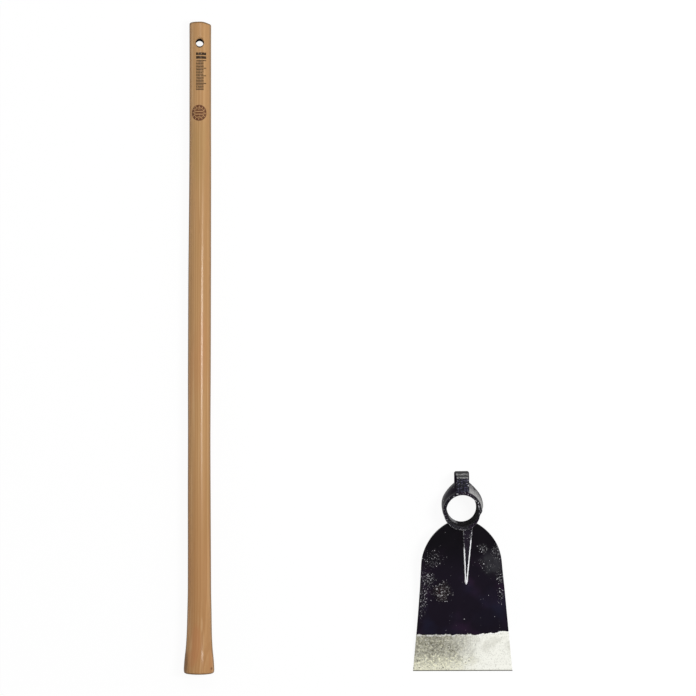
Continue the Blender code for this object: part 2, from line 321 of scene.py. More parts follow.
@dataclass(frozen=True)
class Wire:
    """A node's output, which sums are written with as with a number: each step adds a node."""

    graph: "Graph"
    socket: bpy.types.NodeSocket

    def __add__(self, other: Value) -> "Wire":
        """Add a value."""
        return self.graph.math("ADD", self, other)

    def __sub__(self, other: Value) -> "Wire":
        """Take a value away."""
        return self.graph.math("SUBTRACT", self, other)

    def __rsub__(self, other: Value) -> "Wire":
        """Take this away from a value."""
        return self.graph.math("SUBTRACT", other, self)

    def __mul__(self, other: Value) -> "Wire":
        """Multiply by a value."""
        return self.graph.math("MULTIPLY", self, other)

    def __truediv__(self, other: Value) -> "Wire":
        """Divide by a value."""
        return self.graph.math("DIVIDE", self, other)

    def __abs__(self) -> "Wire":
        """Drop the sign."""
        return self.graph.math("ABSOLUTE", self)

    def __lt__(self, other: Value) -> "Wire":
        """1 where this is less than a value, else 0."""
        return self.graph.math("LESS_THAN", self, other)

    def __gt__(self, other: Value) -> "Wire":
        """1 where this is more than a value, else 0."""
        return self.graph.math("GREATER_THAN", self, other)

    def fract(self) -> "Wire":
        """Keep the part after the point."""
        return self.graph.math("FRACT", self)

    def hypot(self, other: "Wire") -> "Wire":
        """The root of the sum of two squares."""
        squares = self.graph.math("POWER", self, 2.0) + self.graph.math("POWER", other, 2.0)
        return self.graph.math("SQRT", squares)

    def most(self, *others: Value) -> "Wire":
        """The largest of several values."""
        return reduce(lambda first, second: self.graph.math("MAXIMUM", first, second), others, self)

    def ease(self, low: float, high: float, first: float = 0.0, last: float = 1.0) -> "Wire":
        """Ease from first at low to last at high, where high may be the smaller."""
        return self.graph.ease(self, low, high, first, last)

    def level(self, first: Value, second: Value) -> "Wire":
        """Mix two numbers: the first where this is 0, the second where it is 1."""
        return self.graph.mix(Mix.NUMBER, self, first, second)

    def blend(self, first: Value, second: Value) -> "Wire":
        """Mix two colours: the first where this is 0, the second where it is 1."""
        return self.graph.mix(Mix.COLOUR, self, first, second)

    def split(self) -> tuple["Wire", ...]:
        """Separate a vector into x, y and z."""
        return tuple(Wire(self.graph, part) for part in self.graph.node("SeparateXYZ", {0: self}).outputs)

    def stretch(self, *scale: float) -> "Wire":
        """Scale a vector by one number or by three, so that a pattern read through it is drawn out."""
        inputs = {"Vector": self, "Scale": scale * 3 if len(scale) == 1 else scale}
        return Wire(self.graph, self.graph.node("Mapping", inputs).outputs["Vector"])

    def noise(self, scale: float, detail: float = 2.0, rough: float = 0.5) -> "Wire":
        """Read a Noise texture at this vector, from 0 to 1."""
        inputs = {"Vector": self, "Scale": scale, "Detail": detail, "Roughness": rough}
        return Wire(self.graph, self.graph.node("TexNoise", inputs).outputs["Fac"])

    def bump(self, distance: float, below: Optional["Wire"] = None) -> "Wire":
        """Turn this height into a normal.

        Args:
            distance: The depth in metres that a height of 1 stands for.
            below: The normal of a coarser pattern under this one.

        Returns:
            The bent normal.
        """
        inputs = {"Distance": distance, "Height": self}
        if below is not None:
            inputs["Normal"] = below
        return Wire(self.graph, self.graph.node("Bump", inputs).outputs["Normal"])


@dataclass
class Graph:
    """The node tree of a material or of the world."""

    owner: bpy.types.ID
    tree: bpy.types.NodeTree = field(init=False)

    def __post_init__(self) -> None:
        """Switch the nodes on."""
        self.owner.use_nodes = True
        self.tree = self.owner.node_tree

    def put(self, node: bpy.types.Node, inputs: dict[str | int, Value]) -> None:
        """Set sockets, or link those whose value is another node's output.

        Args:
            node: The node whose sockets they are.
            inputs: The sockets' names or numbers, and what each gets.
        """
        for name, value in inputs.items():
            socket = node.inputs[name]
            source = value.socket if isinstance(value, Wire) else value
            if isinstance(source, bpy.types.NodeSocket):
                self.tree.links.new(source, socket)
            else:
                socket.default_value = (*source, 1.0) if socket.type == "RGBA" else source

    def node(self, kind: str, inputs: dict[str | int, Value], **options: str) -> bpy.types.Node:
        """Add a node.

        Args:
            kind: Its type, without the words ShaderNode.
            inputs: What its sockets get.
            options: Its own settings.

        Returns:
            The node.
        """
        node = self.tree.nodes.new("ShaderNode" + kind)
        for name, option in options.items():
            setattr(node, name, option)
        self.put(node, inputs)
        return node

    def math(self, operation: str, *values: Value) -> Wire:
        """Add a Math node."""
        return Wire(self, self.node("Math", dict(enumerate(values)), operation=operation).outputs[0])

    def ease(self, value: Value, low: float, high: float, first: float = 0.0, last: float = 1.0) -> Wire:
        """Ease from one number to another with the cubic 3x^2 - 2x^3.

        Args:
            value: What is eased.
            low: Where the result is first.
            high: Where the result is last, which may be the smaller.
            first: The number before low.
            last: The number past high.

        Returns:
            The eased value.
        """
        if high < low:
            low, high, first, last = high, low, last, first
        inputs = {"Value": value, "From Min": low, "From Max": high, "To Min": first, "To Max": last}
        return Wire(self, self.node("MapRange", inputs, interpolation_type="SMOOTHSTEP").outputs["Result"])

    def mix(self, kind: Mix, share: Value, first: Value, second: Value) -> Wire:
        """Mix two values of a kind.

        Args:
            kind: Numbers, vectors or colours.
            share: 0 for the first and 1 for the second.
            first: The first value.
            second: The second.

        Returns:
            The mixed value.
        """
        data_type, socket, output = kind.value
        node = self.node("Mix", {0: share, socket: first, socket + 1: second}, data_type=data_type)
        return Wire(self, node.outputs[output])

    def paint(self, colour: Value, *layers: tuple[Value, Value]) -> Value:
        """Lay colours over a colour, each where its own mask is 1."""
        return reduce(lambda below, layer: self.mix(Mix.COLOUR, layer[0], below, layer[1]), layers, colour)

    def frame_coordinates(self, matrix: Matrix) -> Wire:
        """Read Object coordinates in a piece's own frame, through a Mapping node that undoes its matrix.

        Args:
            matrix: The frame's place in the scene.

        Returns:
            The coordinates.
        """
        coordinates, back = self.node("TexCoord", {}).outputs["Object"], matrix.inverted()
        inputs = {"Vector": coordinates, "Location": back.translation, "Rotation": back.to_euler("XYZ")}
        return Wire(self, self.node("Mapping", inputs).outputs["Vector"])

    def finish(self, inputs: dict[str, Value]) -> bpy.types.Material:
        """Set the shader's sockets and hand over the material."""
        self.put(self.tree.nodes["Principled BSDF"], inputs)
        return self.owner


def oval(x: Wire, y: Wire, centre: Pair, size: Pair) -> Wire:
    """Distance from an oval's middle, 1 on its rim. Its middle and half sizes are in millimetres."""
    return ((x - centre[0] * MM) / (size[0] * MM)).hypot((y - centre[1] * MM) / (size[1] * MM))


@dataclass(frozen=True)
class WoodFinish:
    """Pale ring-porous hardwood, turned and given a clear satin lacquer."""

    early: Colour = (0.47, 0.275, 0.125)
    late: Colour = (0.34, 0.178, 0.070)
    pale: Colour = (0.60, 0.400, 0.215)
    warm: Colour = (0.43, 0.190, 0.085)
    olive: Colour = (0.36, 0.220, 0.085)
    pore: Colour = (0.20, 0.095, 0.040)
    knot: Colour = (0.060, 0.028, 0.012)
    # The next two colours are painted shade: in the hang hole's cone, and along the sides and ends.
    countersink_shade: Colour = (0.020, 0.009, 0.004)
    shade: Colour = (0.105, 0.062, 0.026)
    ruddy: Colour = (0.327, 0.135, 0.045)
    ink: Colour = (0.012, 0.009, 0.008)
    stamp: Colour = (0.080, 0.022, 0.014)
    # The hang hole wall's colours: nearly black, as painted shade.
    bore_dark: Colour = (0.006, 0.004, 0.003)
    bore_light: Colour = (0.030, 0.016, 0.009)
    ring_pitch: float = 3.4 * MM
    pith: Pair = (-46.0 * MM, 30.0 * MM)

    def material(self, handle: "Handle") -> bpy.types.Material:
        """Build the wood's material in the handle's own frame, where Z runs along the handle.

        The growth rings lie round a pith outside the stick and drift along it. Over them come streaks,
        patches, spots, pores, the printed marks and a ruddy flush towards the flare. Then comes painted
        shade:
        along the sides, more on the left, and on the flare's two sides; on the rounded rims of the ends,
        which are partly darker end grain; and in the cone of the hang hole, deepest on its lower side.

        Args:
            handle: The handle, for its frame and the places of its marks.

        Returns:
            The finished material.
        """
        graph = Graph(bpy.data.materials.new("lacquered_hardwood"))
        place = graph.frame_coordinates(handle.matrix())
        x, y, along = place.split()
        thin, half = handle.thin_radius, handle.length / 2
        drift = place.stretch(1.0, 1.0, 0.045).noise(26.0, 3.0)
        wander = place.stretch(1.0, 1.0, 0.02).noise(7.0, 1.0)
        reach = (x - self.pith[0]).hypot(y - self.pith[1]) + drift * (5.0 * MM) + wander * (9.0 * MM)
        phase = (reach / self.ring_pitch).fract()
        ring = phase.ease(0.0, 0.82) * phase.ease(1.0, 0.9)
        fibre = place.stretch(1.0, 1.0, 0.018).noise(900.0, 3.0, 0.6)
        streak = place.stretch(1.0, 1.0, 0.010).noise(190.0, 2.0)
        patch = place.stretch(1.0, 1.0, 0.25).noise(17.0, 2.0)
        pale = place.stretch(1.0, 1.0, 0.012).noise(260.0, 2.0)
        colour = graph.paint(
            self.early,
            (ring * 0.54, self.late),
            (streak.ease(0.35, 0.75) * 0.38, self.late),
            (patch.ease(0.52, 0.78) * 0.45, self.warm),
            (patch.ease(0.44, 0.26) * 0.50, self.olive),
            (pale.ease(0.56, 0.72) * 0.50, self.pale),
        )
        upper = y.ease(-1.0 * MM, -3.0 * MM)
        for centre, size, tone, share in (
            ((-4.0, -482.0), (8.0, 30.0), self.warm, 0.55),
            ((20.5, -524.5), (1.5, 2.4), self.knot, 0.95),
            ((-15.6, 530.6), (1.5, 1.5), self.knot, 0.85),
            ((5.0, -452.0), (1.6, 12.0), self.pale, 0.45),
            ((-11.0, -508.0), (7.0, 14.0), self.warm, 0.45),
            ((-19.0, -482.0), (3.5, 20.0), self.olive, 0.55),
            ((19.5, -512.0), (3.0, 18.0), self.warm, 0.25),
            # The last two spots are painted shade along the flare's left and right sides.
            ((-25.5, -514.0), (8.0, 24.0), self.shade, 0.80),
            ((25.8, -508.0), (3.0, 24.0), self.shade, 0.50),
        ):
            spot = oval(x, along, centre, size).ease(1.3, 0.6) * upper
            colour = (spot * share).blend(colour, tone)
        colour = (fibre.ease(0.60, 0.74) * ring.level(0.55, 0.15)).blend(colour, self.pore)
        colour = self.marks(colour, place, handle)
        girth = (x - handle.bend).hypot(y)
        # Painted shade on the sides: darker towards the outline, more on the left than on the right, less on
        # the lower half. The ends' rounded rims darken too, partly end grain and partly painted shade.
        side_shade_depth = x.ease(-0.3 * thin, 0.3 * thin).level(0.70, 0.54)
        side = y.ease(-0.55 * thin, -0.33 * thin) * girth.ease(0.86 * thin, 0.94 * thin)
        side = side * y.ease(-0.1 * thin, 0.7 * thin).level(side_shade_depth, 0.46)
        worn = x.ease(0.15 * thin, thin) * handle.worn_corner
        end = (along + worn).ease(half - 3.0 * MM, half - 1.3 * MM)
        end = end.most(along.ease(3.0 * MM - half, 1.3 * MM - half))
        end = end * girth.ease(0.96 * thin, 0.6 * thin).level(0.75, 0.30)
        # Painted shade in the hang hole's countersunk cone, deepest on its lower side.
        out = along - (half - handle.hole_from_end)
        sunk = girth.ease(thin - 0.15 * MM, thin - 0.40 * MM) * abs(out).ease(11.0 * MM, 10.0 * MM)
        colour = graph.paint(
            colour,
            (along.ease(-130.0 * MM, -380.0 * MM) * 0.30, self.ruddy),
            # painted shade on the sides and the ends' rims
            (side.most(end), self.shade),
            # painted shade in the countersink
            (sunk * out.ease(3.0 * MM, -3.0 * MM).level(0.12, 0.96), self.countersink_shade),
        )
        return graph.finish({
            "Base Color": colour,
            "Roughness": fibre.level(0.34, 0.52),
            "Specular IOR Level": 0.0,
            "Coat Weight": 0.26,
            "Coat Roughness": 0.19,
            "Normal": ring.bump(0.04 * MM, fibre.bump(0.10 * MM)),
        })

    def marks(self, colour: Wire, place: Wire, handle: "Handle") -> Wire:
        """Print the plain marks: two bars and a ladder of lines below the hang hole, and a ringed stamp.

        Args:
            colour: The bare wood's colour.
            place: Coordinates in the handle's frame.
            handle: The handle, for the places of the marks.

        Returns:
            The colour with the marks on it.
        """
        x, y, along = place.split()
        graph, half, pitch, thin = place.graph, handle.length / 2, handle.gauge_pitch, handle.thin_radius
        upper = y.ease(-1.0 * MM, -2.0 * MM)
        worn = place.stretch(1.0, 1.0, 0.3).noise(700.0).ease(0.28, 0.42)
        down = half - handle.gauge_top - along
        top = down < 4.8 * pitch
        line = top.level((down / pitch).fract() < 0.58, (down / (2.4 * pitch)).fract() < 0.74)
        reach = ((down / (pitch * 5)).fract() < 0.2).most(top).level(12.5 * MM, 16.5 * MM)
        side = x - handle.gauge_left
        inside = (side > 0.0) * (side < reach) * ((down > 0.0) * (down < handle.gauge_length))
        out = along - (half - handle.stamp_from_end)
        arc = graph.math("ARCSINE", x / thin) * thin
        far, radius, inner = out.hypot(arc), handle.stamp_radius, handle.stamp_radius * 0.60
        turn = (graph.math("ARCTAN2", out, arc) * (handle.stamp_teeth / (2 * pi))).fract()
        teeth = (turn < 0.82) * (far > inner * 1.18) * (far < radius)
        bars = ((out / (4.4 * MM) + 0.34).fract() < 0.68) * (far < inner * 0.90)
        rings = (abs(far - radius) < 0.65 * MM).most(abs(far - inner) < 0.6 * MM)
        return graph.paint(
            colour,
            (line * inside * upper * (worn * 0.92), self.ink),
            (rings.most(teeth, bars) * upper * (worn * 0.88), self.stamp),
        )

    def bore_material(self, handle: "Handle") -> bpy.types.Material:
        """Build the material of the hang hole's wall: wood coloured nearly black as painted shade inside the
        hole.

        Args:
            handle: The handle, for its frame.

        Returns:
            The finished material.
        """
        graph = Graph(bpy.data.materials.new("hang_hole_wall"))
        grain = graph.frame_coordinates(handle.matrix()).stretch(1.0, 1.0, 0.1).noise(500.0, 3.0)
        # Painted shade: the wall's colour is nearly black, standing in for the shadow inside the hole.
        colour = grain.blend(self.bore_dark, self.bore_light)
        return graph.finish({
            "Base Color": colour,
            "Roughness": 0.9,
            "Specular IOR Level": 0.05,
            "Normal": grain.bump(0.15 * MM),
        })


@dataclass(frozen=True)
class ForgedFinish:
    """Forged steel, dipped in black lacquer, and ground bare along the cutting edge.

    The clusters are the blade's speckled places: each one's middle and half sizes in millimetres, across and
    up the blade from its root, and the share of cells that hold a speck.
    """

    lacquer: Colour = (0.0062, 0.0038, 0.0092)
    violet: Colour = (0.0155, 0.0066, 0.0190)
    rough_skin: Colour = (0.0150, 0.0150, 0.0185)
    smooth_grey: Colour = (0.0265, 0.0260, 0.0305)
    rust: Colour = (0.0185, 0.0105, 0.0118)
    near_black: Colour = (0.0020, 0.0015, 0.0028)
    navy: Colour = (0.0085, 0.0080, 0.0200)
    speck: Colour = (0.80, 0.79, 0.82)
    worn: Colour = (0.90, 0.90, 0.92)
    # A painted highlight: the light grey of the eye's lit right shoulder.
    painted_highlight: Colour = (0.46, 0.46, 0.45)
    steel: Colour = (0.93, 0.93, 0.855)
    steel_grey: Colour = (0.42, 0.42, 0.37)
    steel_olive: Colour = (0.31, 0.295, 0.215)
    steel_yellow: Colour = (0.92, 0.90, 0.68)
    pit: Colour = (0.050, 0.044, 0.026)
    poll_fleck: Colour = (0.120, 0.108, 0.205)
    poll_dark: Colour = (0.045, 0.045, 0.046)
    poll_light: Colour = (0.34, 0.34, 0.34)
    # The eye's inner wall: near black, partly dark forge scale and partly painted shade, with a painted
    # highlight.
    bore_dark: Colour = (0.004, 0.004, 0.005)
    bore_light: Colour = (0.016, 0.014, 0.017)
    bore_lip: Colour = (0.060, 0.058, 0.066)
    bore_painted_highlight: Colour = (0.38, 0.38, 0.39)
    speck_cells: float = 640.0
    clusters: tuple[tuple[Pair, Pair, float], ...] = (
        ((33.0, -43.0), (7.0, 7.5), 0.42),
        ((31.5, -66.0), (4.5, 7.0), 0.34),
        ((56.0, -49.0), (8.0, 13.0), 0.44),
        ((61.0, -88.0), (5.5, 13.0), 0.42),
        ((62.0, -122.0), (4.5, 13.0), 0.26),
        ((43.0, -72.0), (13.0, 9.0), 0.15),
        ((-48.0, -59.0), (14.0, 13.0), 0.24),
        ((-57.0, -93.0), (10.0, 11.0), 0.34),
        ((-67.0, -118.0), (8.0, 34.0), 0.24),
    )

    def patch(self, place: Wire, ragged: Wire, centre: Pair, size: Pair) -> Wire:
        """Mark a soft oval on the blade, 1 inside and 0 outside, with a rim that noise eats into."""
        x, y, _ = place.split()
        return (oval(x, y, centre, size) + ragged * 1.2).ease(2.15, 1.05)

    def specks(self, place: Wire, density: Value) -> Wire:
        """Scatter small worn specks: one in some of the cells of a cell pattern, which noise bends.

        Args:
            place: Coordinates in the piece's frame.
            density: The share of the cells that hold a speck.

        Returns:
            1 on a speck and 0 between them.
        """
        graph = place.graph
        noise = graph.node("TexNoise", {"Vector": place, "Scale": 420.0})
        shake = graph.node("VectorMath", {0: noise.outputs["Color"], "Scale": 1.6 * MM}, operation="SCALE")
        bent = graph.node("VectorMath", {0: place, 1: shake.outputs[0]}, operation="ADD")
        cells = graph.node("TexVoronoi", {"Vector": bent.outputs[0], "Scale": self.speck_cells})
        lot, shade, _ = Wire(graph, cells.outputs["Color"]).split()
        spot = Wire(graph, cells.outputs["Distance"]).ease(0.46, 0.32)
        return spot * graph.math("POWER", shade, 1.8).level(0.10, 1.10) * (lot < density)

    def lacquered(self, place: Wire, density: Value, skin: Value, skin_colour: Value) -> tuple[Wire, ...]:
        """Work out the black lacquer: near black with violet clouds, worn through to steel in specks.

        Args:
            place: Coordinates in the piece's frame.
            density: The share of the cells that hold a worn speck.
            skin: Mask of the rough or dull places.
            skin_colour: Their colour.

        Returns:
            Colour, roughness, metallic value and the normal.
        """
        graph = place.graph
        tint = place.noise(12.0, 2.0).ease(0.34, 0.52).blend(self.navy, self.violet)
        pocked = graph.ease(density, 0.04, 0.25) * place.noise(380.0).ease(0.47, 0.56)
        fine = self.specks(place.stretch(1.5), graph.math("MULTIPLY", density, 1.3))
        bright = self.specks(place.stretch(0.94), graph.math("MULTIPLY", density, 0.9)).most(fine * 0.35)
        colour = graph.paint(
            self.lacquer,
            (place.noise(19.0, 3.0).ease(0.45, 0.68), tint),
            (skin, skin_colour),
            (pocked * 0.8, self.near_black),
            (bright * place.noise(260.0, 1.0).level(0.45, 1.45), self.speck),
        )
        lumps = place.noise(520.0, 3.0, 0.6) * graph.ease(density, 0.02, 0.3)
        normal = lumps.bump(0.5 * MM, place.noise(230.0, 3.0).bump(0.06 * MM))
        return colour, place.noise(45.0, 3.0).level(0.36, 0.50), bright * 0.4, normal

    def bare(self, place: Wire, head: "HeadFrame") -> tuple[Wire, ...]:
        """Work out the ground band: brushed along the blade, pitted, stained and darker on one side, partly
        as painted shade, clean on the other, with a painted shadow along its bottom edge.

        Args:
            place: Coordinates in the blade's frame.
            head: The head's frame, for the band's place.

        Returns:
            Colour, roughness and the normal.
        """
        x, y, _ = place.split()
        below = -head.band_top - y
        cloud = place.noise(42.0, 4.0, 0.55)
        drift = (cloud - 0.5) * (90.0 * MM)
        depth = below + drift * 0.45
        side = (x + drift).ease(34.0 * MM, -36.0 * MM)
        # Darker to the left: partly stains and pitting, partly painted shade.
        stain_and_shade = side * depth.ease(62.0 * MM, 22.0 * MM).level(0.18, 1.0)
        yellow = side * depth.ease(26.0 * MM, 46.0 * MM)
        brush = place.stretch(1.0, 0.045, 0.05).noise(430.0, 3.0, 0.6)
        streaks = brush.ease(0.44, 0.66) * below.ease(40.0 * MM, 4.0 * MM) * x.ease(44.0 * MM, -12.0 * MM)
        tone_patch = cloud.ease(0.44, 0.66) * below.ease(44.0 * MM, 18.0 * MM)
        mottle = place.noise(300.0, 3.0, 0.7).ease(0.42, 0.62) * stain_and_shade
        blotch = place.noise(170.0, 3.0, 0.7).ease(0.47, 0.58) * stain_and_shade
        shine = place.noise(240.0, 2.0).ease(0.52, 0.64) * side
        grain = place.noise(520.0, 2.0, 0.7).ease(0.50, 0.66)
        pits = self.specks(place, side * 0.30 + 0.02).most(self.specks(place.stretch(0.55), yellow * 0.22))
        # Painted shadow: a dark line along the band's bottom, under the cutting edge, in the pit colour.
        left_over = below - x * (head.overrun_skew / head.edge_half) - head.overrun
        edge = left_over.ease(head.band_height - 2.1 * MM, head.band_height - 1.1 * MM)
        colour = place.graph.paint(
            self.steel,
            (yellow * 0.75, self.steel_yellow),
            (tone_patch * 0.30, self.steel_olive),
            (stain_and_shade * 0.84, self.steel_olive),
            (mottle * 0.62, self.pit),
            (blotch * 0.46, self.pit),
            (shine * below.ease(26.0 * MM, 46.0 * MM).level(0.35, 0.85), self.steel_yellow),
            (grain * side.level(0.42, 0.70), self.steel_grey),
            (streaks * 0.45, self.steel_olive),
            (self.specks(place.stretch(0.8), stain_and_shade * 0.26) * 0.7, self.steel),
            (pits * 0.92, self.pit),
            # painted shadow along the bottom edge
            (edge * 0.95, self.pit),
        )
        roughness = (1.0 - stain_and_shade * 0.62).level(0.58, 0.45)
        return colour, roughness, pits.bump(-0.25 * MM, brush.bump(0.02 * MM))

    def blade_density(self, place: Wire, ragged: Wire) -> tuple[Wire, ...]:
        """Work out where the blade's lacquer is speckled, reddish, or worn smooth and grey.

        Args:
            place: Coordinates in the blade's frame.
            ragged: Noise that eats into the rims of the patches.

        Returns:
            The share of specks, the reddish mask and the smooth grey mask.
        """
        reddish = self.patch(place, ragged, (-34.5, -114.0), (13.5, 14.5))
        speckled = [self.patch(place, ragged, centre, size) * share for centre, size, share in self.clusters]
        smooth = self.patch(place, ragged, (50.0, -66.0), (18.0, 19.0))
        smooth = smooth * place.noise(150.0, 3.0).level(0.60, 1.20)
        density = (reddish * 0.34).most(*speckled) * smooth.level(1.0, 0.4)
        return density + 0.0030, reddish, smooth

    def blade_material(self, head: "HeadFrame") -> bpy.types.Material:
        """Build the material of the blade and its ground band, divided by the ragged end of the lacquer.

        Args:
            head: The head's frame.

        Returns:
            The finished material.
        """
        graph = Graph(bpy.data.materials.new("lacquered_blade"))
        place = graph.frame_coordinates(head.blade_matrix())
        x, y, _ = place.split()
        ragged = place.noise(120.0, 2.0)
        density, reddish, smooth = self.blade_density(place, ragged)
        blue = self.patch(place, ragged, (47.0, -119.0), (12.0, 17.0)) * 0.6
        blue = blue.most(self.patch(place, ragged, (38.0, -160.0), (24.0, 20.0)) * 0.5)
        skin = (reddish * 0.85).most(smooth, y.ease(-95.0 * MM, -25.0 * MM) * 0.90, blue * 0.7)
        layers = (blue, self.navy), (reddish, self.rust), (smooth, self.smooth_grey)
        skin_colour = graph.paint(self.near_black, *layers)
        colour, roughness, metallic, normal = self.lacquered(place, density, skin, skin_colour)
        steel, steel_roughness, steel_normal = self.bare(place, head)
        wave = (place.noise(95.0, 2.0) - 0.5) * (8.0 * MM)
        nibble = (place.noise(420.0, 2.0) - 0.5) * (3.4 * MM)
        rise = x.ease(26.0 * MM, 70.0 * MM) * (5.0 * MM)
        over = y - (wave + nibble + (rise - head.band_top))
        bare = over.ease(0.15 * MM, -0.15 * MM)
        rim = abs(over + 1.6 * MM).ease(1.8 * MM, 0.5 * MM) * place.noise(380.0, 1.0).ease(0.36, 0.56)
        return graph.finish({
            "Base Color": bare.blend(colour, (rim * 0.6).blend(steel, self.worn)),
            "Roughness": bare.level(roughness, steel_roughness),
            "Metallic": bare.level(metallic, 0.2),
            "Specular IOR Level": 0.09,
            "Normal": bare.bump(-0.12 * MM, graph.mix(Mix.VECTOR, bare, normal, steel_normal)),
        })

    def collar_material(self, head: "HeadFrame") -> bpy.types.Material:
        """Build the eye's material: lacquer over hammered steel, with worn specks along the lip's lower edge,
        and painted highlights along the lip on the upper right and on the right shoulder.

        Args:
            head: The head's frame.

        Returns:
            The finished material.
        """
        graph = Graph(bpy.data.materials.new("lacquered_collar"))
        place = graph.frame_coordinates(head.matrix())
        x, y, z = place.split()
        reach, heading = x.hypot(y), graph.math("ARCTAN2", y, x)
        rim = z.ease(22.6 * MM, 23.8 * MM) * reach.ease(29.0 * MM, 30.6 * MM)
        low = y.ease(-4.0 * MM, -16.0 * MM).level(0.07, 0.50)
        density = (rim * low).most(z.ease(24.0 * MM, 24.8 * MM) * 0.10) + 0.012
        skin = place.noise(130.0, 3.0).ease(0.48, 0.68)
        colour, roughness, metallic, normal = self.lacquered(place, density, skin, self.rough_skin)
        grain = place.noise(160.0, 3.0) - 0.5
        ragged = z + grain * (22.0 * MM)
        # Painted highlight: a light grey, rougher patch on the right shoulder below the lip, where the slope
        # faces the light, fainter low on the side.
        tone_patch = abs(heading - radians(41.0)).ease(1.02, 0.52)
        tone_patch = tone_patch * (z.ease(21.5 * MM, 18.5 * MM) * ragged.ease(-6.0 * MM, 9.0 * MM)) + grain * 1.1
        tone_patch = tone_patch.ease(0.32, 0.80) * place.noise(420.0, 3.0, 0.7).level(0.35, 1.2)
        tone_patch = tone_patch * z.ease(2.0 * MM, 18.0 * MM).level(0.40, 1.0)
        # Bright broken lines: along the lower outer edge they are worn specks; along the lip's inner corner
        # on the upper right they are a painted highlight.
        foot = abs(reach - 30.9 * MM).ease(0.9 * MM, 0.3 * MM) * (y.ease(-6.0 * MM, -16.0 * MM) * 0.4)
        lip = abs(reach - 27.4 * MM).ease(1.0 * MM, 0.4 * MM) * abs(heading - radians(26.0)).ease(0.72, 0.45)
        line = foot.most(lip) * z.ease(20.0 * MM, 23.0 * MM)
        worn = line * place.noise(330.0, 3.0, 0.7).ease(0.46, 0.62)
        return graph.finish({
            "Base Color": graph.paint(colour, (worn * 0.7, self.speck), (tone_patch * 0.85, self.painted_highlight)),
            "Roughness": tone_patch.level(roughness, 0.6),
            "Metallic": metallic,
            "Specular IOR Level": 0.05,
            "Normal": normal,
        })

    def poll_material(self, head: "HeadFrame") -> bpy.types.Material:
        """Build the material of the poll: coarse dark skin in front, and a top dulled grey by the hammer.

        Args:
            head: The head's frame.

        Returns:
            The finished material.
        """
        graph = Graph(bpy.data.materials.new("lacquered_poll"))
        place = graph.frame_coordinates(head.matrix())
        _, y, z = place.split()
        front = z.ease(14.0 * MM, 20.0 * MM)
        colour, roughness, metallic, normal = self.lacquered(place, front * 0.12, front, self.rough_skin)
        share = front * y.ease(53.4 * MM, 51.6 * MM).level(0.0, 0.66)
        top = (y + z * 0.1386).ease(56.0 * MM, 56.8 * MM)
        light = abs(z + 1.0 * MM).ease(7.0 * MM, 3.0 * MM).most(z.ease(12.0 * MM, 15.5 * MM))
        light = light * place.noise(300.0, 3.0).ease(0.34, 0.66)
        flecks = self.specks(place.stretch(1.1), share) * 0.9
        hammered = light.blend(self.poll_dark, self.poll_light)
        return graph.finish({
            "Base Color": graph.paint(colour, (flecks, self.poll_fleck), (top, hammered)),
            "Roughness": top.level(roughness, 0.7),
            "Metallic": metallic,
            "Specular IOR Level": 0.0,
            "Normal": normal,
        })

    def bore_material(self, head: "HeadFrame") -> bpy.types.Material:
        """Build the material of the eye's inner wall: near black, partly dark forge scale and partly painted
        shade, with a painted highlight on one side of its rim.

        Args:
            head: The head's frame.

        Returns:
            The finished material.
        """
        graph = Graph(bpy.data.materials.new("eye_bore"))
        place = graph.frame_coordinates(head.matrix())
        x, y, z = place.split()
        # Painted highlight: a light arc on the lower left of the wall, where it faces the light.
        sector = abs(graph.math("ARCTAN2", y, x) + radians(132.0)).ease(0.52, 0.18)
        painted_highlight = sector * z.ease(6.0 * MM, -3.0 * MM) * place.noise(300.0).ease(0.3, 0.5)
        lip = z.ease(12.0 * MM, 18.0 * MM) * y.ease(-8.0 * MM, -18.0 * MM)
        lip = lip * place.noise(330.0, 3.0, 0.7).ease(0.42, 0.62)
        # Painted shade: the wall is near black, partly its dark forge scale.
        near_black = place.noise(150.0, 3.0).blend(self.bore_dark, self.bore_light)
        return graph.finish({
            "Base Color": graph.paint(near_black, (lip * 0.8, self.bore_lip), (painted_highlight * 0.95, self.bore_painted_highlight)),
            "Roughness": 0.9,
            "Specular IOR Level": 0.04,
            "Normal": place.noise(240.0, 3.0).bump(0.15 * MM),
        })

    def rib_material(self, head: "HeadFrame", rib: "Rib") -> bpy.types.Material:
        """Build the material of the rib: lacquer, worn to bright steel along its two arrises and its tip.

        An arris runs at top + lean d across the blade, at distance d down it. The lacquer is worn off within
        half a line's width of each, fully from where the arris's wear starts and faintly above that.

        Args:
            head: The head's frame.
            rib: The rib, for the places of its arrises.

        Returns:
            The finished material.
        """
        graph = Graph(bpy.data.materials.new("lacquered_rib"))
        place = graph.frame_coordinates(head.blade_matrix())
        x, y, _ = place.split()
        colour, roughness, metallic, normal = self.lacquered(place, 0.03, 0.6, self.rough_skin)
        down = y * -1.0
        nibble = (place.noise(520.0, 2.0) - 0.5) * (1.5 * MM)
        bright = down.ease(rib.tip - 9.0 * MM, rib.tip - 5.0 * MM) * 0.95
        for top, lean, start, above in rib.arrises():
            off = abs(x - (down * lean + top)) + nibble
            faint = place.noise(420.0, 1.0).ease(0.50, 0.62) * above
            stripe = off.ease(rib.worn_half * 1.25, rib.worn_half * 0.8)
            bright = bright.most(stripe * down.ease(start, start + 9.0 * MM).level(faint, 1.0))
        return graph.finish({
            "Base Color": bright.blend(colour, self.worn),
            "Roughness": bright.level(roughness, 0.5),
            "Metallic": bright.level(metallic, 0.1),
            "Specular IOR Level": 0.02,
            "Normal": normal,
        })


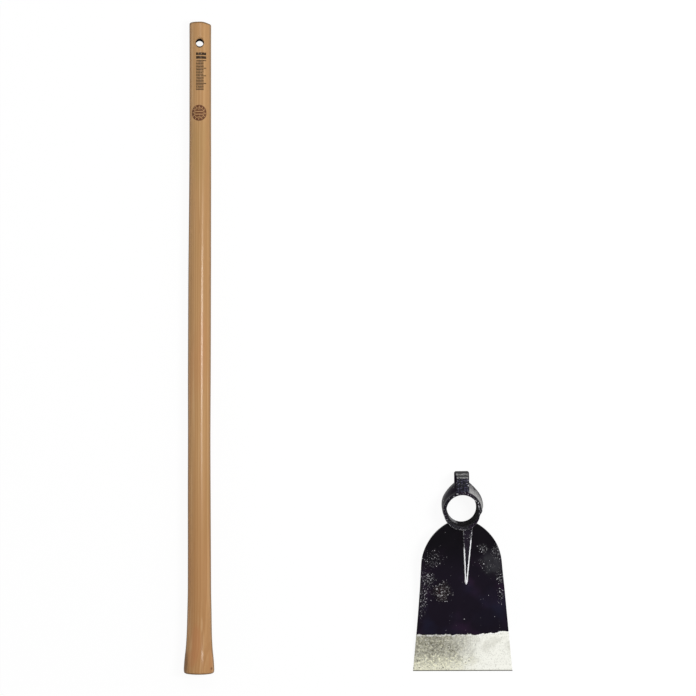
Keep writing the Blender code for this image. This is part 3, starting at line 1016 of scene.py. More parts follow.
@dataclass
class Handle:
    """The handle: one turned length of hardwood with a flare at one end and a hang hole at the other."""

    length: float = 1067.0 * MM
    thin_radius: float = 17.8 * MM
    flare_radius: float = 25.6 * MM
    flare_widest: float = 1062.0 * MM
    shaft_end: float = 930.0 * MM
    hole_from_end: float = 34.2 * MM
    hole_radius: float = 6.4 * MM
    hole_sink: float = 2.4 * MM
    hole_slant: float = 2.2 * MM
    bend: float = 1.0 * MM
    sway: float = -0.5 * MM
    flat_side: float = 0.047
    worn_corner: float = 2.6 * MM
    columns: int = 96
    window: int = 10
    wobble: float = 0.05 * MM
    wobble_round: float = 30.0 * MM
    wobble_pitch: float = 20.0 * MM
    wobble_along: float = 6.0
    calm_end: float = 30.0 * MM
    crease: float = 38.0
    seed: int = 11
    gauge_top: float = 50.6 * MM
    gauge_length: float = 62.0 * MM
    gauge_pitch: float = 2.5 * MM
    gauge_left: float = -5.0 * MM
    stamp_from_end: float = 149.5 * MM
    stamp_radius: float = 12.4 * MM
    stamp_teeth: int = 12

    def matrix(self) -> Matrix:
        """Lay the handle along Y on its flare's widest ring and its thin end, where the CAD node lies.

        Returns:
            The place of the frame whose Z runs up the handle from its middle.
        """
        low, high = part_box("handle")
        slope = asin((self.flare_radius - self.thin_radius) / self.flare_widest)
        turn = Matrix.Rotation(-pi / 2 - slope, 4, "X")
        height = self.thin_radius * cos(slope) + self.length / 2 * sin(slope)
        return Matrix.Translation(((low.x + high.x) / 2, (low.y + high.y) / 2, height)) @ turn

    def outline(self) -> tuple[np.ndarray, np.ndarray]:
        """List the turned outline as distances from the thin end and radii, with its end faces.

        Returns:
            The distances and the radii.
        """
        body = np.array([
            (0.0, 15.8), (0.25, 16.5), (0.8, 17.2), (1.6, 17.6), (3.0, 17.8), (150.0, 17.8),
            (300.0, 18.2), (420.0, 18.7), (560.0, 18.8), (680.0, 18.5), (780.0, 18.8), (930.0, 19.2),
            (965.0, 19.9), (995.0, 20.7), (1012.0, 21.5), (1028.0, 22.7), (1040.0, 24.1), (1050.0, 25.0),
            (1062.0, 25.6), (1064.6, 25.3), (1066.2, 24.5), (1067.0, 23.2),
        ]) * MM
        return body[:, 0], body[:, 1]

    def rows(self) -> np.ndarray:
        """Place the rings along the handle: close at both ends, at the flare and by the hang hole.

        Returns:
            Distances from the thin end.
        """
        step = 2 * pi * self.thin_radius / self.columns
        low, high = self.hole_from_end - self.window * step, self.hole_from_end + self.window * step
        hole = np.linspace(low, high, 2 * self.window + 1)
        start = np.array([0.0, 0.25, 0.8, 1.6, 3.0, 6.0, 10.0, 16.0]) * MM
        shaft = np.linspace(high, self.shaft_end, 190)[1:]
        flare = np.linspace(self.shaft_end, self.flare_widest, 60)[1:]
        end = np.array([1063.4, 1064.6, 1065.5, 1066.2, 1066.8]) * MM
        return np.concatenate([start[start < low - step], hole, shaft, flare, end, [self.length - 0.05 * MM]])

    def sideways(self, down: np.ndarray) -> np.ndarray:
        """How far the handle's line wanders to the right, at distances from its thin end."""
        stations = np.array([0.0, 200.0, 460.0, 700.0, 930.0, 1067.0]) * MM
        return through(stations, np.array([self.bend, self.bend, 0.0, self.sway, 0.0, 0.0]), down)

    def build(self) -> bpy.types.Object:
        """Turn the surface, open the hang hole through it, and bend the thin end a little sideways.

        The body is radius(s) times (sin a, cos a) at distance s and angle a. Its radius carries a faint slow
        wobble, as on a real turned stick, and the flare's right side is a little flatter than its left. A
        square window of the grid on each side is left out, and a tube of rings joins the two windows: from
        the square to the countersink's edge on the surface, down its cone, and straight through.

        Returns:
            The finished piece.
        """
        rows = self.rows()
        angle = np.arange(self.columns) * 2 * pi / self.columns
        place, turn = np.meshgrid(rows, angle, indexing="ij")
        unit = np.stack([np.sin(turn), np.cos(turn), place * self.wobble_along], axis=-1)
        wobble = value_noise(unit * self.wobble_round, self.wobble_pitch, self.seed) * self.wobble
        inward = np.minimum(wobble - self.wobble, 0.0) * smoothstep(0.0, self.calm_end, place)
        inward *= smoothstep(self.length, self.length - self.calm_end, place)
        wide = through(*self.outline(), rows)[:, None] + inward
        body = np.stack([wide * np.sin(turn), -wide * np.cos(turn), self.length / 2 - place], axis=-1)
        index = numbered(body)
        keep = np.ones((body.shape[0] - 1, self.columns), bool)
        middle = int(np.argmin(np.abs(rows - self.hole_from_end)))
        span = np.arange(-self.window, self.window)
        for centre in (0, self.columns // 2):
            keep[np.ix_(middle + span, (centre + span) % self.columns)] = False
        faces = grid_faces(index, True).reshape(keep.shape + (4,))[keep]
        tube, tube_faces = self.hole_tube(body, index, middle)
        caps, cap_faces = self.end_caps(body, index, index.size + len(tube))
        points = np.concatenate([body.reshape(-1, 3), tube, caps])
        down = self.length / 2 - points[:, 2]
        worn = smoothstep(0.15, 1.0, points[:, 0] / self.thin_radius) * smoothstep(18 * MM, 0.0, down)
        points[:, 2] -= self.worn_corner * worn
        flat = np.where(points[:, 0] > 0, self.flat_side * smoothstep(950 * MM, 1055 * MM, down), 0.0)
        points[:, 0] = points[:, 0] * (1.0 - flat) + self.sideways(down)
        surfaces = [faces, tube_faces, cap_faces]
        piece = new_piece("handle_turned", points, self.matrix(), surfaces, self.crease)
        finish = WoodFinish()
        dress(piece, Body.HANDLE, Slot.WOOD, "handle", finish.material(self))
        second_skin(piece, finish.bore_material(self), self.in_bore(piece))
        return piece

    def in_bore(self, piece: bpy.types.Object) -> np.ndarray:
        """Find the faces of the hang hole's wall.

        Args:
            piece: The finished handle.

        Returns:
            True for each face whose middle is no further from the slanting hole's line than its radius.
        """
        local = place_points(read_vectors(piece.data.polygons, "center"), self.matrix().inverted())
        out = local[:, 2] - (self.length / 2 - self.hole_from_end)
        deep = np.clip(0.5 + local[:, 1] / (2 * (self.thin_radius - self.hole_sink)), 0.0, 1.0)
        aside = local[:, 0] - self.bend + self.hole_slant * deep
        return np.hypot(aside, out) < self.hole_radius + 0.1 * MM

    def window_loop(self, index: np.ndarray, middle: int, mirrored: bool) -> np.ndarray:
        """List the vertices round one window, in step with the other window's.

        Args:
            index: Vertex numbers of the body's grid.
            middle: The row at the middle of the hole.
            mirrored: Whether this is the window on the lower side.

        Returns:
            Vertex numbers, once round.
        """
        n = self.window
        side = np.arange(-n, n)
        row = np.concatenate([np.full(2 * n, -n), side, np.full(2 * n, n), -side])
        column = np.concatenate([side, np.full(2 * n, n), -side, np.full(2 * n, -n)])
        if mirrored:
            column = self.columns // 2 - column
        return index[middle + row, column % self.columns]

    def hole_tube(self, body: np.ndarray, index: np.ndarray, middle: int) -> tuple[np.ndarray, np.ndarray]:
        """Join the two windows by rings: to the countersink, down its cone, through the wood and out again.

        Args:
            body: The body's vertices, in rows and columns.
            index: Their numbers, after which the new vertices are numbered.
            middle: The row at the middle of the hole.

        Returns:
            The new vertices, and the quads that join them.
        """
        upper, lower = self.window_loop(index, middle, False), self.window_loop(index, middle, True)
        outer = body.reshape(-1, 3)[upper]
        upper_rings = self.rim_rings(outer, 0.0) * np.array([1.0, -1.0, 1.0])
        lower_rings = self.rim_rings(outer, -self.hole_slant)[::-1]
        share = np.linspace(0.0, 1.0, 12)[1:-1, None, None]
        wall = upper_rings[-1] * (1 - share) + lower_rings[0] * share
        tube = np.concatenate([upper_rings, wall, lower_rings])
        loops = np.concatenate([upper[None], numbered(tube, index.size), lower[None]])
        return tube.reshape(-1, 3), grid_faces(loops, True)

    def rim_rings(self, outer: np.ndarray, shift: float) -> np.ndarray:
        """Work out the rings from a window's square to the countersink's edge, and down its cone to the bore.

        The cone stands at 45 degrees, so its radius less its height stays the same, c. At heading a, it meets
        the handle's surface of radius R at the reach r where (r - c)^2 = R^2 - (shift + r sin a)^2.

        Args:
            outer: The window's vertices, once round.
            shift: How far the rim's middle lies to one side.

        Returns:
            The rings, on the side where y is above 0.
        """
        middle = self.length / 2 - self.hole_from_end
        along = outer[:, 2] - middle
        heading = np.arctan2(outer[:, 0], along)
        sine, cosine = np.sin(heading), np.cos(heading)
        less = self.hole_radius + self.hole_sink - self.thin_radius
        half, square = less - shift * sine, 1.0 + sine**2
        edge = (half + np.sqrt(half**2 - square * (less**2 + shift**2 - self.thin_radius**2))) / square
        rim_x, rim_out = shift + edge * sine, edge * cosine
        rings = []
        for share in (0.3, 0.6, 0.85, 1.0):
            x = outer[:, 0] * (1 - share) + rim_x * share
            out = along * (1 - share) + rim_out * share
            rings.append(np.stack([x, np.sqrt(self.thin_radius**2 - x**2), out + middle], axis=-1))
        for share in np.linspace(0.0, 1.0, 6)[1:]:
            reach = edge * (1 - share) + self.hole_radius * share
            rings.append(np.stack([shift + reach * sine, reach - less, reach * cosine + middle], axis=-1))
        return np.array(rings)

    def end_caps(self, body: np.ndarray, index: np.ndarray, first: int) -> tuple[np.ndarray, np.ndarray]:
        """Close both ends with flat rings that shrink to a pole.

        Args:
            body: The body's vertices.
            index: Their numbers.
            first: The number that the first new vertex gets.

        Returns:
            The new vertices and quads.
        """
        points, faces = [], []
        for row in (0, -1):
            centre = body[row].mean(axis=0)
            rings = np.array([centre + (body[row] - centre) * share for share in (0.8, 0.55, 0.3, 0.1, 0.0)])
            numbers = numbered(rings, first)
            first += numbers.size
            points.append(rings.reshape(-1, 3))
            faces.append(grid_faces(np.concatenate([index[row][None], numbers]), True))
        return np.concatenate(points), np.concatenate(faces)


@dataclass
class HeadFrame:
    """Where the head lies, and the sizes that its pieces share."""

    middle_y: float = -264.6 * MM
    turn: float = radians(0.55)
    half_depth: float = 25.0 * MM
    inner_rim: float = 30.4 * MM
    root: tuple[float, float, float] = (0.0, -21.3 * MM, 15.5 * MM)
    draw_in: float = radians(4.2)
    blade_length: float = 248.5 * MM
    neck_half: float = 24.0 * MM
    side_half: float = 65.9 * MM
    edge_half: float = 82.1 * MM
    side_start: float = 68.0 * MM
    waist: float = 0.5 * MM
    broad: float = 0.35 * MM
    shoulder_bulge: float = 10.2 * MM
    band_height: float = 61.6 * MM
    root_thickness: float = 5.5 * MM
    band_thickness: float = 3.2 * MM
    edge_thickness: float = 1.4 * MM
    slack: float = 0.03 * MM
    overrun: float = 0.95 * MM
    overrun_skew: float = 0.6 * MM
    overrun_rise: float = 0.165

    @property
    def band_top(self) -> float:
        """How far down the blade the ground band starts."""
        return self.blade_length - self.band_height

    def matrix(self) -> Matrix:
        """Lay the head on the inner rim of its eye and on its cutting edge, where the CAD nodes lie.

        Returns:
            The place of the frame whose Z is the eye's axis and whose Y points to the poll.
        """
        edge_y, edge_z = -self.blade_length, -self.edge_thickness / 2
        along = self.root[1] + edge_y * cos(self.draw_in) - edge_z * sin(self.draw_in)
        out = self.root[2] + edge_y * sin(self.draw_in) + edge_z * cos(self.draw_in)
        tilt = atan2(out + self.half_depth, -self.inner_rim - along)
        height = self.inner_rim * sin(tilt) + self.half_depth * cos(tilt)
        turn = Matrix.Rotation(self.turn, 4, "Z") @ Matrix.Rotation(tilt, 4, "X")
        corner = (turn @ Vector((self.edge_half, along, out))).x
        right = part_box("cutting_edge")[1].x - self.slack
        return Matrix.Translation((right - corner, self.middle_y, height)) @ turn

    def blade_matrix(self) -> Matrix:
        """Place the blade's frame: X across, Y up the blade from its root, Z out of its outer side."""
        return self.matrix() @ Matrix.Translation(self.root) @ Matrix.Rotation(self.draw_in, 4, "X")

    def half_width(self, down: np.ndarray) -> np.ndarray:
        """Half the blade's width: a round shoulder from the neck, then a side that widens, drawn in a little.

        Args:
            down: Distances down the blade from its root.

        Returns:
            Half the width at each.
        """
        start, end = Vector((self.neck_half, 0.0)), Vector((self.side_half, -self.side_start))
        chord = end - start
        half = chord.length / 2
        radius = (half**2 + self.shoulder_bulge**2) / (2 * self.shoulder_bulge)
        outward = Vector((-chord.y, chord.x)).normalized()
        centre = start + chord / 2 - outward * (radius - self.shoulder_bulge)
        height = -np.minimum(down, self.side_start) - centre.y
        arc = centre.x + np.sqrt(np.maximum(radius**2 - height**2, 0.0))
        share = np.clip((down - self.side_start) / (self.blade_length - self.side_start), 0.0, 1.0)
        hollow = 4 * self.waist * share * (1 - share)
        side = self.side_half + (self.edge_half - self.side_half) * share - hollow
        return np.where(down < self.side_start, arc, side) + self.broad * (1 - share)

    def drift(self, down: np.ndarray) -> np.ndarray:
        """How far the middle of the hand-forged blade lies to the right.

        Args:
            down: Distances down the blade from its root.

        Returns:
            The distances to the right, which are negative to the left.
        """
        stations = np.array([0.0, 30.0, 62.0, 110.0, 165.0, 248.5]) * MM
        middles = np.array([-1.3, -1.2, -1.6, -0.7, -0.25, 0.0]) * MM
        return through(stations, middles, down.ravel()).reshape(down.shape)

    def thickness(self, down: np.ndarray) -> np.ndarray:
        """The blade's thickness: an even taper to the band, and another from there to the edge."""
        stations = [0.0, self.band_top, self.blade_length]
        return np.interp(down, stations, [self.root_thickness, self.band_thickness, self.edge_thickness])


@dataclass
class Plate:
    """A stretch of the blade as a closed surface, from one distance down it to another."""

    head: HeadFrame
    name: str
    node: str
    slot: Slot
    top: float
    bottom: float
    rows: int
    columns: int = 150
    side_points: int = 7
    under_collar: bool = False
    edge_bevel: float = 0.0
    bevel_share: float = 0.75
    side_round: float = 0.35 * MM
    ring_wall: float = 29.5 * MM
    wave: float = 0.16 * MM
    wave_pitch: float = 34.0 * MM
    crease: float = 35.0
    seed: int = 21

    def build(self, material: bpy.types.Material) -> bpy.types.Object:
        """Build the plate from rings that run across the front, round one side, back, and round the other.

        A ring at distance d down the blade is (a w(d), -d, z), with a from -1 to 1 across, w the half width,
        and z half the thickness in front and minus that behind. The sides are half ellipses. The top ring
        of the blade follows the eye's wall, so that the plate ends inside the collar, and the ground edge
        runs on a little, further on its right side, without sinking below the surface that it rests on.

        Args:
            material: What the plate is dressed in.

        Returns:
            The finished piece.
        """
        head, ones, ends = self.head, np.ones(self.columns), np.ones(self.side_points)
        across = np.linspace(-1.0, 1.0, self.columns)
        sweep = np.linspace(0.0, pi, self.side_points + 2)[1:-1]
        loop_x = np.concatenate([across, ends, across[::-1], -ends])
        loop_z = np.concatenate([ones, np.cos(sweep), -ones, -np.cos(sweep)])
        bulge = np.concatenate([0 * ones, np.sin(sweep), 0 * ones, -np.sin(sweep)])[None, :]
        share = np.linspace(0.0, 1.0, self.rows)
        down, x_grid = np.meshgrid(self.top + (self.bottom - self.top) * share, loop_x, indexing="ij")
        half, thick = head.half_width(down), head.thickness(down) / 2
        round_off = np.minimum(thick, self.side_round)
        x = x_grid * (half - round_off) + bulge * round_off + head.drift(down)
        past = np.zeros_like(x)
        if self.under_collar:
            down = down + self.wall_depth(x_grid * head.neck_half) * (1 - share[:, None]) ** 6
        if self.edge_bevel:
            near = smoothstep(self.bottom - self.edge_bevel, self.bottom, down)
            thick = thick * (1.0 - self.bevel_share * near * np.where(loop_z[None, :] > 0, 1.0, 0.0))
            past = (head.overrun + head.overrun_skew * x_grid) * smoothstep(self.top, self.bottom, down)
        points = np.stack([x, -down - past, loop_z[None, :] * thick + head.overrun_rise * past], axis=-1)
        index = numbered(points)
        faces = [grid_faces(index, True), self.zip_end(index[0]), self.zip_end(index[-1])]
        piece = new_piece(self.name, points, head.blade_matrix(), faces, self.crease)
        self.forge(piece)
        dress(piece, Body.HEAD, self.slot, self.node, material)
        return piece

    def wall_depth(self, x: np.ndarray) -> np.ndarray:
        """How far below the root line the middle of the eye's wall runs, at a distance across."""
        wall = np.sqrt(np.maximum(self.ring_wall**2 - x**2, 0.0))
        return np.maximum(wall + self.head.root[1], 0.0)

    def zip_end(self, ring: np.ndarray) -> np.ndarray:
        """Close an end ring by joining its front row to its back row.

        Args:
            ring: Vertex numbers, once round.

        Returns:
            The quads that close it.
        """
        front, right, back, left = np.split(ring, np.cumsum([self.columns, self.side_points, self.columns]))
        faces = [grid_faces(np.stack([front, back[::-1]]), False)]
        for start, bend, end in ((front[-1:], right, back[:1]), (back[-1:], left, front[:1])):
            chain = np.concatenate([start, bend, end])
            half = (len(chain) + 1) // 2
            faces.append(grid_faces(np.stack([chain[:half], chain[::-1][:half]]), False))
        return np.concatenate(faces)

    def forge(self, piece: bpy.types.Object) -> None:
        """Give the plate's faces the slow unevenness of forging, always inwards from the nominal shape.

        Args:
            piece: The plate.
        """
        points = read_vectors(piece.data.vertices, "co")
        local = place_points(points, self.head.blade_matrix().inverted())
        inset = self.head.half_width(-local[:, 1]) - np.abs(local[:, 0])
        calm = smoothstep(0.0, 6 * MM, inset) * smoothstep(0.0, 14 * MM, self.head.blade_length + local[:, 1])
        roughen(piece, (rough_noise(points, self.wave_pitch, 3, self.seed) - 1.0) * self.wave * calm)


@dataclass
class Rib:
    """The V rib on the outer side of the blade: a tapering ridge with a hollow crown and two worn arrises."""

    head: HeadFrame
    top: float = 5.0 * MM
    tip: float = 102.5 * MM
    left_top: float = 0.6 * MM
    left_lean: float = 0.044
    left_worn: float = 36.0 * MM
    left_faint: float = 0.22
    right_top: float = 16.2 * MM
    right_lean: float = -0.095
    right_worn: float = 21.0 * MM
    right_faint: float = 0.98
    worn_half: float = 1.0 * MM
    flank: float = 1.7 * MM
    height_top: float = 5.2 * MM
    height_tip: float = 1.6 * MM
    hollow: float = 0.20
    tip_share: float = 0.05
    foot: float = 0.25 * MM
    buried: float = 1.2 * MM
    crease: float = 50.0
    rows: int = 200
    columns: int = 64

    def arrises(self) -> tuple[tuple[float, float, float, float], ...]:
        """Describe the left and the right arris.

        Returns:
            For each, its place at the root, its lean, where its wear starts, and the wear above that.
        """
        return (
            (self.left_top, self.left_lean, self.left_worn, self.left_faint),
            (self.right_top, self.right_lean, self.right_worn, self.right_faint),
        )

    def build(self) -> bpy.types.Object:
        """Build the rib as rows across it, each a hollow crown between two steep flanks with rounded arrises.

        A row at distance d down the blade runs from the left foot to the right foot, which lie one flank
        outside the arrises. Its height over the blade is h(d) times a profile that eases up over the flank
        and dips a little between. Near the tip the row narrows to a half ellipse.

        Returns:
            The finished piece.
        """
        head = self.head
        share = np.linspace(0.0, 1.0, self.rows)[:, None]
        down = self.top + (self.tip - self.top) * share
        close = np.sqrt(np.clip((1.0 - share) / self.tip_share, 0.0, 1.0))
        left = self.left_top + self.left_lean * down
        right = self.right_top + self.right_lean * down
        half = ((right - left) / 2 + self.flank) * close
        height = (self.height_top + (self.height_tip - self.height_top) * share) * close
        across = np.linspace(-1.0, 1.0, self.columns)[None, :]
        x = (left + right) / 2 + half * across
        inset = half * (1.0 - np.abs(across)) / self.flank
        rise = smoothstep(0.0, 1.0, inset) * (1 - self.hollow * smoothstep(1.1, 3.0, inset))
        surface = head.thickness(down) / 2
        front = surface - self.foot + (height + self.foot) * rise
        sheets = [np.stack(np.broadcast_arrays(x, -down, z), axis=-1) for z in (front, surface - self.buried)]
        points = np.concatenate([sheets[0], sheets[1][:, ::-1]], axis=1)
        index = numbered(points)
        ends = [np.stack([row[: self.columns], row[self.columns :][::-1]]) for row in (index[0], index[-1])]
        faces = [grid_faces(index, True), *(grid_faces(end, False) for end in ends)]
        piece = new_piece("spine_rib_ridge", points, head.blade_matrix(), faces, self.crease)
        dress(piece, Body.HEAD, Slot.LACQUER, "spine_rib", ForgedFinish().rib_material(head, self))
        return piece


@dataclass
class Collar:
    """The tapered eye with its lip and the shoulders that carry the poll."""

    head: HeadFrame
    bore: float = 27.3 * MM
    ring: float = 31.9 * MM
    shoulder_radius: float = 33.5 * MM
    shoulder_rise: float = 5.0 * MM
    around: int = 384
    section: int = 126
    bore_reach: float = 24.6 * MM
    crease: float = 45.0
    wave: float = 0.12 * MM
    wave_pitch: float = 16.0 * MM
    wave_seed: int = 31
    dent: float = 0.10 * MM
    dent_pitch: float = 5.5 * MM
    dent_seed: int = 41

    def outline(self) -> np.ndarray:
        """Trace the collar's outline at mid depth, once round: ring, shoulder arcs, slants, under the poll.

        Returns:
            Points (x, y) at even steps along the outline.
        """
        low, high = np.linspace(-pi / 2, radians(-24), 30), np.linspace(radians(-10), radians(38), 24)
        ring = np.stack([self.ring * np.cos(low), self.ring * np.sin(low)], axis=-1)
        arc_y = self.shoulder_rise + self.shoulder_radius * np.sin(high)
        arc = np.stack([self.shoulder_radius * np.cos(high), arc_y], axis=-1)
        slant = np.array([(22.4, 30.9), (12.9, 40.5), (11.4, 42.0), (9.4, 43.6), (0.0, 44.0)]) * MM
        right = np.concatenate([ring, arc, slant])
        whole = np.concatenate([right, (right * np.array([-1.0, 1.0]))[::-1][1:]])
        run = np.concatenate([[0.0], np.cumsum(np.linalg.norm(np.diff(whole, axis=0), axis=1))])
        even = np.linspace(0.0, run[-1], self.around, endpoint=False)
        x, y = np.interp(even, run, whole[:, 0]), np.interp(even, run, whole[:, 1])
        grow = 1.0 + self.swell(np.degrees(np.arctan2(y, np.abs(x))), x) / np.hypot(x, y)
        return np.stack([x * grow, y * grow], axis=-1)

    def swell(self, lean: np.ndarray, x: np.ndarray) -> np.ndarray:
        """How far the hand-forged outline stands out from its even shape, more on the right than on the left.

        Args:
            lean: Headings up from the horizontal, in degrees.
            x: The places across, above 0 on the right.

        Returns:
            The distances, in metres.
        """
        right = np.array([
            (-90, 0.0), (-60, -0.3), (-37, -1.3), (-20, -2.2), (-12, -2.3), (-4, -0.7), (2, 1.1),
            (6, 1.6), (16, 1.6), (29, 1.6), (54, 1.5), (66, 1.7), (72, 1.5), (90, 0.0),
        ])
        left = np.array([
            (-90, 0.0), (-37, -0.2), (-20, -0.7), (0, 0.0), (40, 0.0), (54, 0.4), (66, 0.9), (90, 0.0),
        ])
        return np.where(x > 0, np.interp(lean, *right.T), np.interp(lean, *left.T)) * MM

    def section_points(self, reach: np.ndarray) -> np.ndarray:
        """Control points of the sections: up the inner wall, over the lip, out, down the side and back.

        A plain ring section and a broad shoulder section are mixed by how far the outline stands out.

        Args:
            reach: The outline's distance from the eye's axis at each section.

        Returns:
            For each section, its control points as distance from the axis and height.
        """
        ring = np.array([
            (24.3, -24.6), (24.1, -23.0), (25.2, 0.0), (26.3, 22.6), (26.5, 24.4),
            (27.4, 25.2), (29.4, 25.2), (31.0, 25.0), (31.7, 23.8),
            (32.1, 19.5), (32.3, 15.0), (32.3, 9.0), (32.2, 3.0),
            (32.1, -4.0), (32.0, -11.0), (31.8, -17.0), (31.4, -21.5),
            (31.0, -24.4), (29.8, -25.2), (25.6, -25.2),
        ]) * MM
        side, inner, outer = slice(9, 17), 32.0 * MM, reach[:, None]
        broad = ring.copy()
        broad[side, 1] = np.array([19.0, 16.2, 11.5, 3.5, -6.0, -16.0, -20.5, -21.6]) * MM
        grow = np.array([0.0, 0.06, 0.45, 0.97, 1.0, 1.0, 0.94, 0.12])
        mix = smoothstep(self.ring, self.ring + 4.0 * MM, reach)[:, None, None]
        table = ring[None] * (1 - mix) + broad[None] * mix
        stretched = inner + (outer - inner) * grow[None, :]
        plain = ring[None, side, 0] + np.maximum(outer - 32.1 * MM, 0.0) * 0.6
        table[:, side, 0] = plain * (1 - mix[:, :, 0]) + stretched * mix[:, :, 0]
        short = np.maximum(self.ring - reach, 0.0)[:, None]
        table[..., 0] -= short * np.clip((table[..., 0] - self.bore) / (self.ring - self.bore), 0.0, 1.0)
        return table

    def build(self) -> bpy.types.Object:
        """Build the collar as sections set round the eye, each a closed cubic spline in its radial plane.

        The section at outline point C lies in the plane through the eye's axis and C.

        Returns:
            The finished piece.
        """
        outline, matrix = self.outline(), self.head.matrix()
        reach = np.linalg.norm(outline, axis=1)
        heading = outline / reach[:, None]
        table = self.section_points(reach)
        fine = np.einsum("sc,acd->asd", ring_spline(table.shape[1], self.section), table)
        x, y = (fine[..., 0] * heading[:, None, axis] for axis in (0, 1))
        points = np.stack([x, y, fine[..., 1]], axis=-1)
        index = numbered(points)
        faces = grid_faces(np.concatenate([index, index[:1]]), True)
        piece = new_piece("eye_ring", points, matrix, [faces], self.crease)
        self.forge(piece)
        finish = ForgedFinish()
        dress(piece, Body.HEAD, Slot.LACQUER, "eye_collar", finish.collar_material(self.head))
        local = place_points(read_vectors(piece.data.polygons, "center"), matrix.inverted())
        inside = (np.linalg.norm(local[:, :2], axis=1) < self.bore) & (np.abs(local[:, 2]) < self.bore_reach)
        second_skin(piece, finish.bore_material(self.head), inside)
        return piece

    def forge(self, piece: bpy.types.Object) -> None:
        """Hammer the surface: slow waves all over, and small dents on the shoulders.

        Args:
            piece: The collar.
        """
        points = read_vectors(piece.data.vertices, "co")
        local = place_points(points, self.head.matrix().inverted())
        waves = (rough_noise(points, self.wave_pitch, 3, self.wave_seed) - 1.0) * self.wave
        dents = (dimples(points, self.dent_pitch, self.dent_seed) - 1.0) * self.dent
        dents = dents * smoothstep(6 * MM, 20 * MM, local[:, 1])
        outside = smoothstep(28 * MM, 31 * MM, np.linalg.norm(local[:, :2], axis=1))
        roughen(piece, (waves + dents) * (0.3 + 0.7 * outside))


@dataclass
class Poll:
    """The lug over the eye: a block with round edges and a sloping top, narrower in front than behind."""

    head: HeadFrame
    half_back: float = 12.45 * MM
    half_front: float = 10.6 * MM
    shift: float = 0.6 * MM
    depth: float = 22.0 * MM
    top_front: float = 54.1 * MM
    top_back: float = 60.2 * MM
    foot: float = 28.6 * MM
    corner: float = 1.9 * MM
    brow: float = 3.4 * MM
    slope_from: float = 34.0 * MM
    slope_full: float = 54.0 * MM
    side: int = 34
    bend: int = 8
    crease: float = 50.0
    wave: float = 0.10 * MM
    wave_pitch: float = 14.0 * MM
    wave_seed: int = 51
    dent: float = 0.40 * MM
    dent_pitch: float = 3.4 * MM
    dent_seed: int = 61

    def loop(self, half_x: np.ndarray, half_z: np.ndarray, radius: np.ndarray) -> np.ndarray:
        """Trace rectangles with round corners, one for each row of sizes.

        Args:
            half_x: Half the width of each.
            half_z: Half the depth of each.
            radius: The corners' radius.

        Returns:
            Points (x, z), in rows.
        """
        signs = ((1, 1), (-1, 1), (-1, -1), (1, -1), (1, 1))
        share = np.linspace(0.0, 1.0, self.side + 2)[None, 1:-1]
        pieces = []
        for number in range(4):
            sweep = np.linspace(number, number + 1, self.bend)[None, :] * pi / 2
            both = []
            for axis, half, wave in ((0, half_x, np.cos), (1, half_z, np.sin)):
                bend = signs[number][axis] * (half - radius) + radius * wave(sweep)
                to = signs[number + 1][axis] * (half - radius) + radius * wave(sweep[:, -1:])
                both.append(np.hstack([bend, bend[:, -1:] * (1 - share) + to * share]))
            pieces.append(np.stack(both, axis=-1))
        return np.concatenate(pieces, axis=1)

    def build(self) -> bpy.types.Object:
        """Build the lug from loops: a closed foot in the collar, straight sides, a round brow, a flat top.

        At depth z the width is scaled by 1 - k z, so that the front is narrower, and a point at height y is
        lowered by z times the top's slope, which eases in above the shoulders.

        Returns:
            The finished piece.
        """
        mean, top = (self.half_back + self.half_front) / 2, (self.top_front + self.top_back) / 2
        shrink = np.linspace(1.0, 0.0, 12)[:-1] * mean
        sides = np.linspace(self.foot, top - self.brow, 60)
        bend = np.linspace(0.0, pi / 2, 7)[1:]
        cap = self.brow + np.linspace(0.0, 1.0, 14)[1:] * (mean - self.brow)
        inset = np.concatenate([shrink, 0 * sides, self.brow * (1 - np.cos(bend)), cap])[:, None]
        over = top - self.brow + self.brow * np.sin(bend)
        height = np.concatenate([np.full(len(shrink), self.foot), sides, over, np.full(len(cap), top)])
        ring = self.loop(mean - inset, self.depth - 0.4 * inset, np.maximum(self.corner - inset, 0.0))
        z = ring[..., 1]
        y = np.broadcast_to(height[:, None], z.shape)
        narrow = (self.half_back - self.half_front) / (2 * mean * self.depth)
        slope = (self.top_back - self.top_front) / (2 * self.depth)
        x = ring[..., 0] * (1 - narrow * z) + self.shift
        y = y - z * slope * smoothstep(self.slope_from, self.slope_full, y)
        points = np.stack([x, y, z], axis=-1)
        faces = grid_faces(numbered(points), True)
        piece = new_piece("poll_lug", points, self.head.matrix(), [faces], self.crease)
        self.forge(piece)
        dress(piece, Body.HEAD, Slot.LACQUER, "poll", ForgedFinish().poll_material(self.head))
        return piece

    def forge(self, piece: bpy.types.Object) -> None:
        """Hammer the lug: slow waves all over, and small close dents on its front.

        Args:
            piece: The lug.
        """
        points = read_vectors(piece.data.vertices, "co")
        local = place_points(points, self.head.matrix().inverted())
        waves = (rough_noise(points, self.wave_pitch, 3, self.wave_seed) - 1.0) * self.wave
        dents = (dimples(points, self.dent_pitch, self.dent_seed) - 1.0) * self.dent
        roughen(piece, waves + dents * smoothstep(16 * MM, 21 * MM, local[:, 2]))


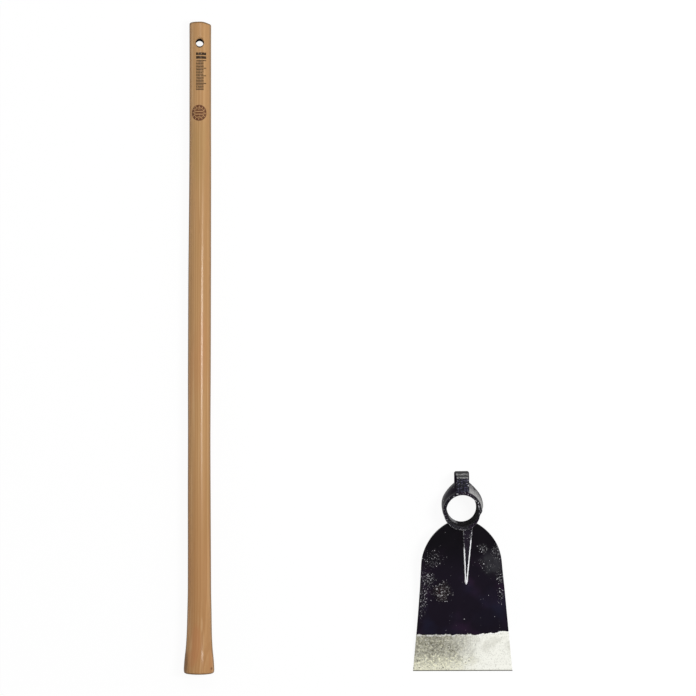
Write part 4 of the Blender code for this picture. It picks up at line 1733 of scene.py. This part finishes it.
@dataclass
class Studio:
    """The camera straight above, the pale floor and the soft lights."""

    distance: float = 4.0217
    pixel: float = 1.6414 * MM
    frame_pixels: int = 696
    sensor: float = 36.0
    far_clip: float = 60.0
    centre: Pair = (-1.1 * MM, -0.6 * MM)
    axis_height: float = 21.7 * MM
    floor_radius: float = 12.0
    floor_colour: Colour = (0.95, 0.95, 0.95)
    floor_white: float = 0.93
    wall_height: Pair = (0.42, 0.80)
    wall: float = 0.92
    ceiling: float = 0.20
    horizon_height: Pair = (0.02, 0.32)
    horizon: float = 0.35

    def camera(self) -> None:
        """Hang the camera over the middle of the picture, at the photograph's scale."""
        data = bpy.data.cameras.new("camera")
        data.sensor_width = self.sensor
        data.lens = self.sensor * (self.distance - self.axis_height) / (self.pixel * self.frame_pixels)
        data.clip_end = self.far_clip
        item = bpy.data.objects.new("camera", data)
        item.location = (*self.centre, self.distance)
        bpy.context.scene.collection.objects.link(item)
        bpy.context.scene.camera = item

    def floor(self) -> None:
        """Lay a pale round floor that keeps a soft shadow but looks white to the camera and to gloss."""
        graph = Graph(bpy.data.materials.new("pale_floor"))
        path = graph.node("LightPath", {}).outputs
        seen = Wire(graph, path["Is Camera Ray"]).most(path["Is Glossy Ray"], path["Is Transmission Ray"])
        glow = graph.node("Emission", {"Strength": 1.0})
        matt = graph.tree.nodes["Principled BSDF"]
        graph.put(matt, {"Base Color": self.floor_colour, "Roughness": 1.0, "Specular IOR Level": 0.0})
        mix = graph.node("MixShader", {0: seen * self.floor_white, 1: matt.outputs[0], 2: glow.outputs[0]})
        graph.put(graph.tree.nodes["Material Output"], {"Surface": mix.outputs[0]})
        mesh = bpy.data.meshes.new("floor")
        solid = bmesh.new()
        bmesh.ops.create_circle(solid, cap_ends=True, segments=64, radius=self.floor_radius)
        solid.to_mesh(mesh)
        solid.free()
        mesh.materials.append(graph.owner)
        floor = bpy.data.objects.new("floor", mesh)
        bpy.context.scene.collection.objects.link(floor)

    def world(self) -> None:
        """Fill the surroundings with light: bright walls, dimmer low and overhead, white to the camera."""
        world = bpy.data.worlds.new("studio")
        graph = Graph(world)
        height = Wire(graph, graph.node("TexCoord", {}).outputs["Generated"]).split()[2]
        wall = height.ease(*self.wall_height, self.wall, self.ceiling)
        rise = height.ease(*self.horizon_height, self.horizon, 1.0)
        dim = graph.tree.nodes["Background"]
        graph.put(dim, {"Color": WHITE, "Strength": wall * rise})
        white = graph.node("Background", {"Color": WHITE, "Strength": 1.0})
        seen = graph.node("LightPath", {}).outputs["Is Camera Ray"]
        mix = graph.node("MixShader", {0: seen, 1: dim.outputs[0], 2: white.outputs[0]})
        graph.put(graph.tree.nodes["World Output"], {"Surface": mix.outputs[0]})
        bpy.context.scene.world = world

    def lamp(self, name: str, place: tuple[float, float, float], size: Pair, power: float) -> None:
        """Set up a soft box that looks at the middle of the floor.

        Args:
            name: The lamp's name.
            place: Where it stands.
            size: Its width and height.
            power: Its power in watts.
        """
        data = bpy.data.lights.new(name, "AREA")
        data.shape = "RECTANGLE"
        data.size, data.size_y = size
        data.energy = power
        item = bpy.data.objects.new(name, data)
        item.location = place
        item.rotation_euler = Vector(place).to_track_quat("Z", "Y").to_euler()
        item.visible_camera = False
        bpy.context.scene.collection.objects.link(item)

    def build(self) -> None:
        """Set up the whole studio."""
        self.camera()
        self.floor()
        self.world()
        self.lamp("key", (1.12, 0.05, 2.5), (0.50, 0.74), 44.0)
        self.lamp("fill", (-0.10, 1.30, 2.4), (1.20, 1.20), 16.0)
        bpy.context.scene.view_settings.view_transform = "Standard"


def main() -> None:
    """Build the studio, the handle and the head, in that order."""
    logging.basicConfig(level=logging.INFO, format="%(message)s")
    Studio().build()
    Handle().build()
    head = HeadFrame()
    skin = ForgedFinish().blade_material(head)
    top, bottom = head.band_top, head.blade_length
    Plate(head, "blade_plate", "blade", Slot.LACQUER, 0.0, top, 190, under_collar=True).build(skin)
    Plate(head, "ground_edge", "cutting_edge", Slot.STEEL, top, bottom, 70, edge_bevel=2.6 * MM).build(skin)
    for part in (Rib(head), Collar(head), Poll(head)):
        part.build()


if __name__ == "__main__":
    main()
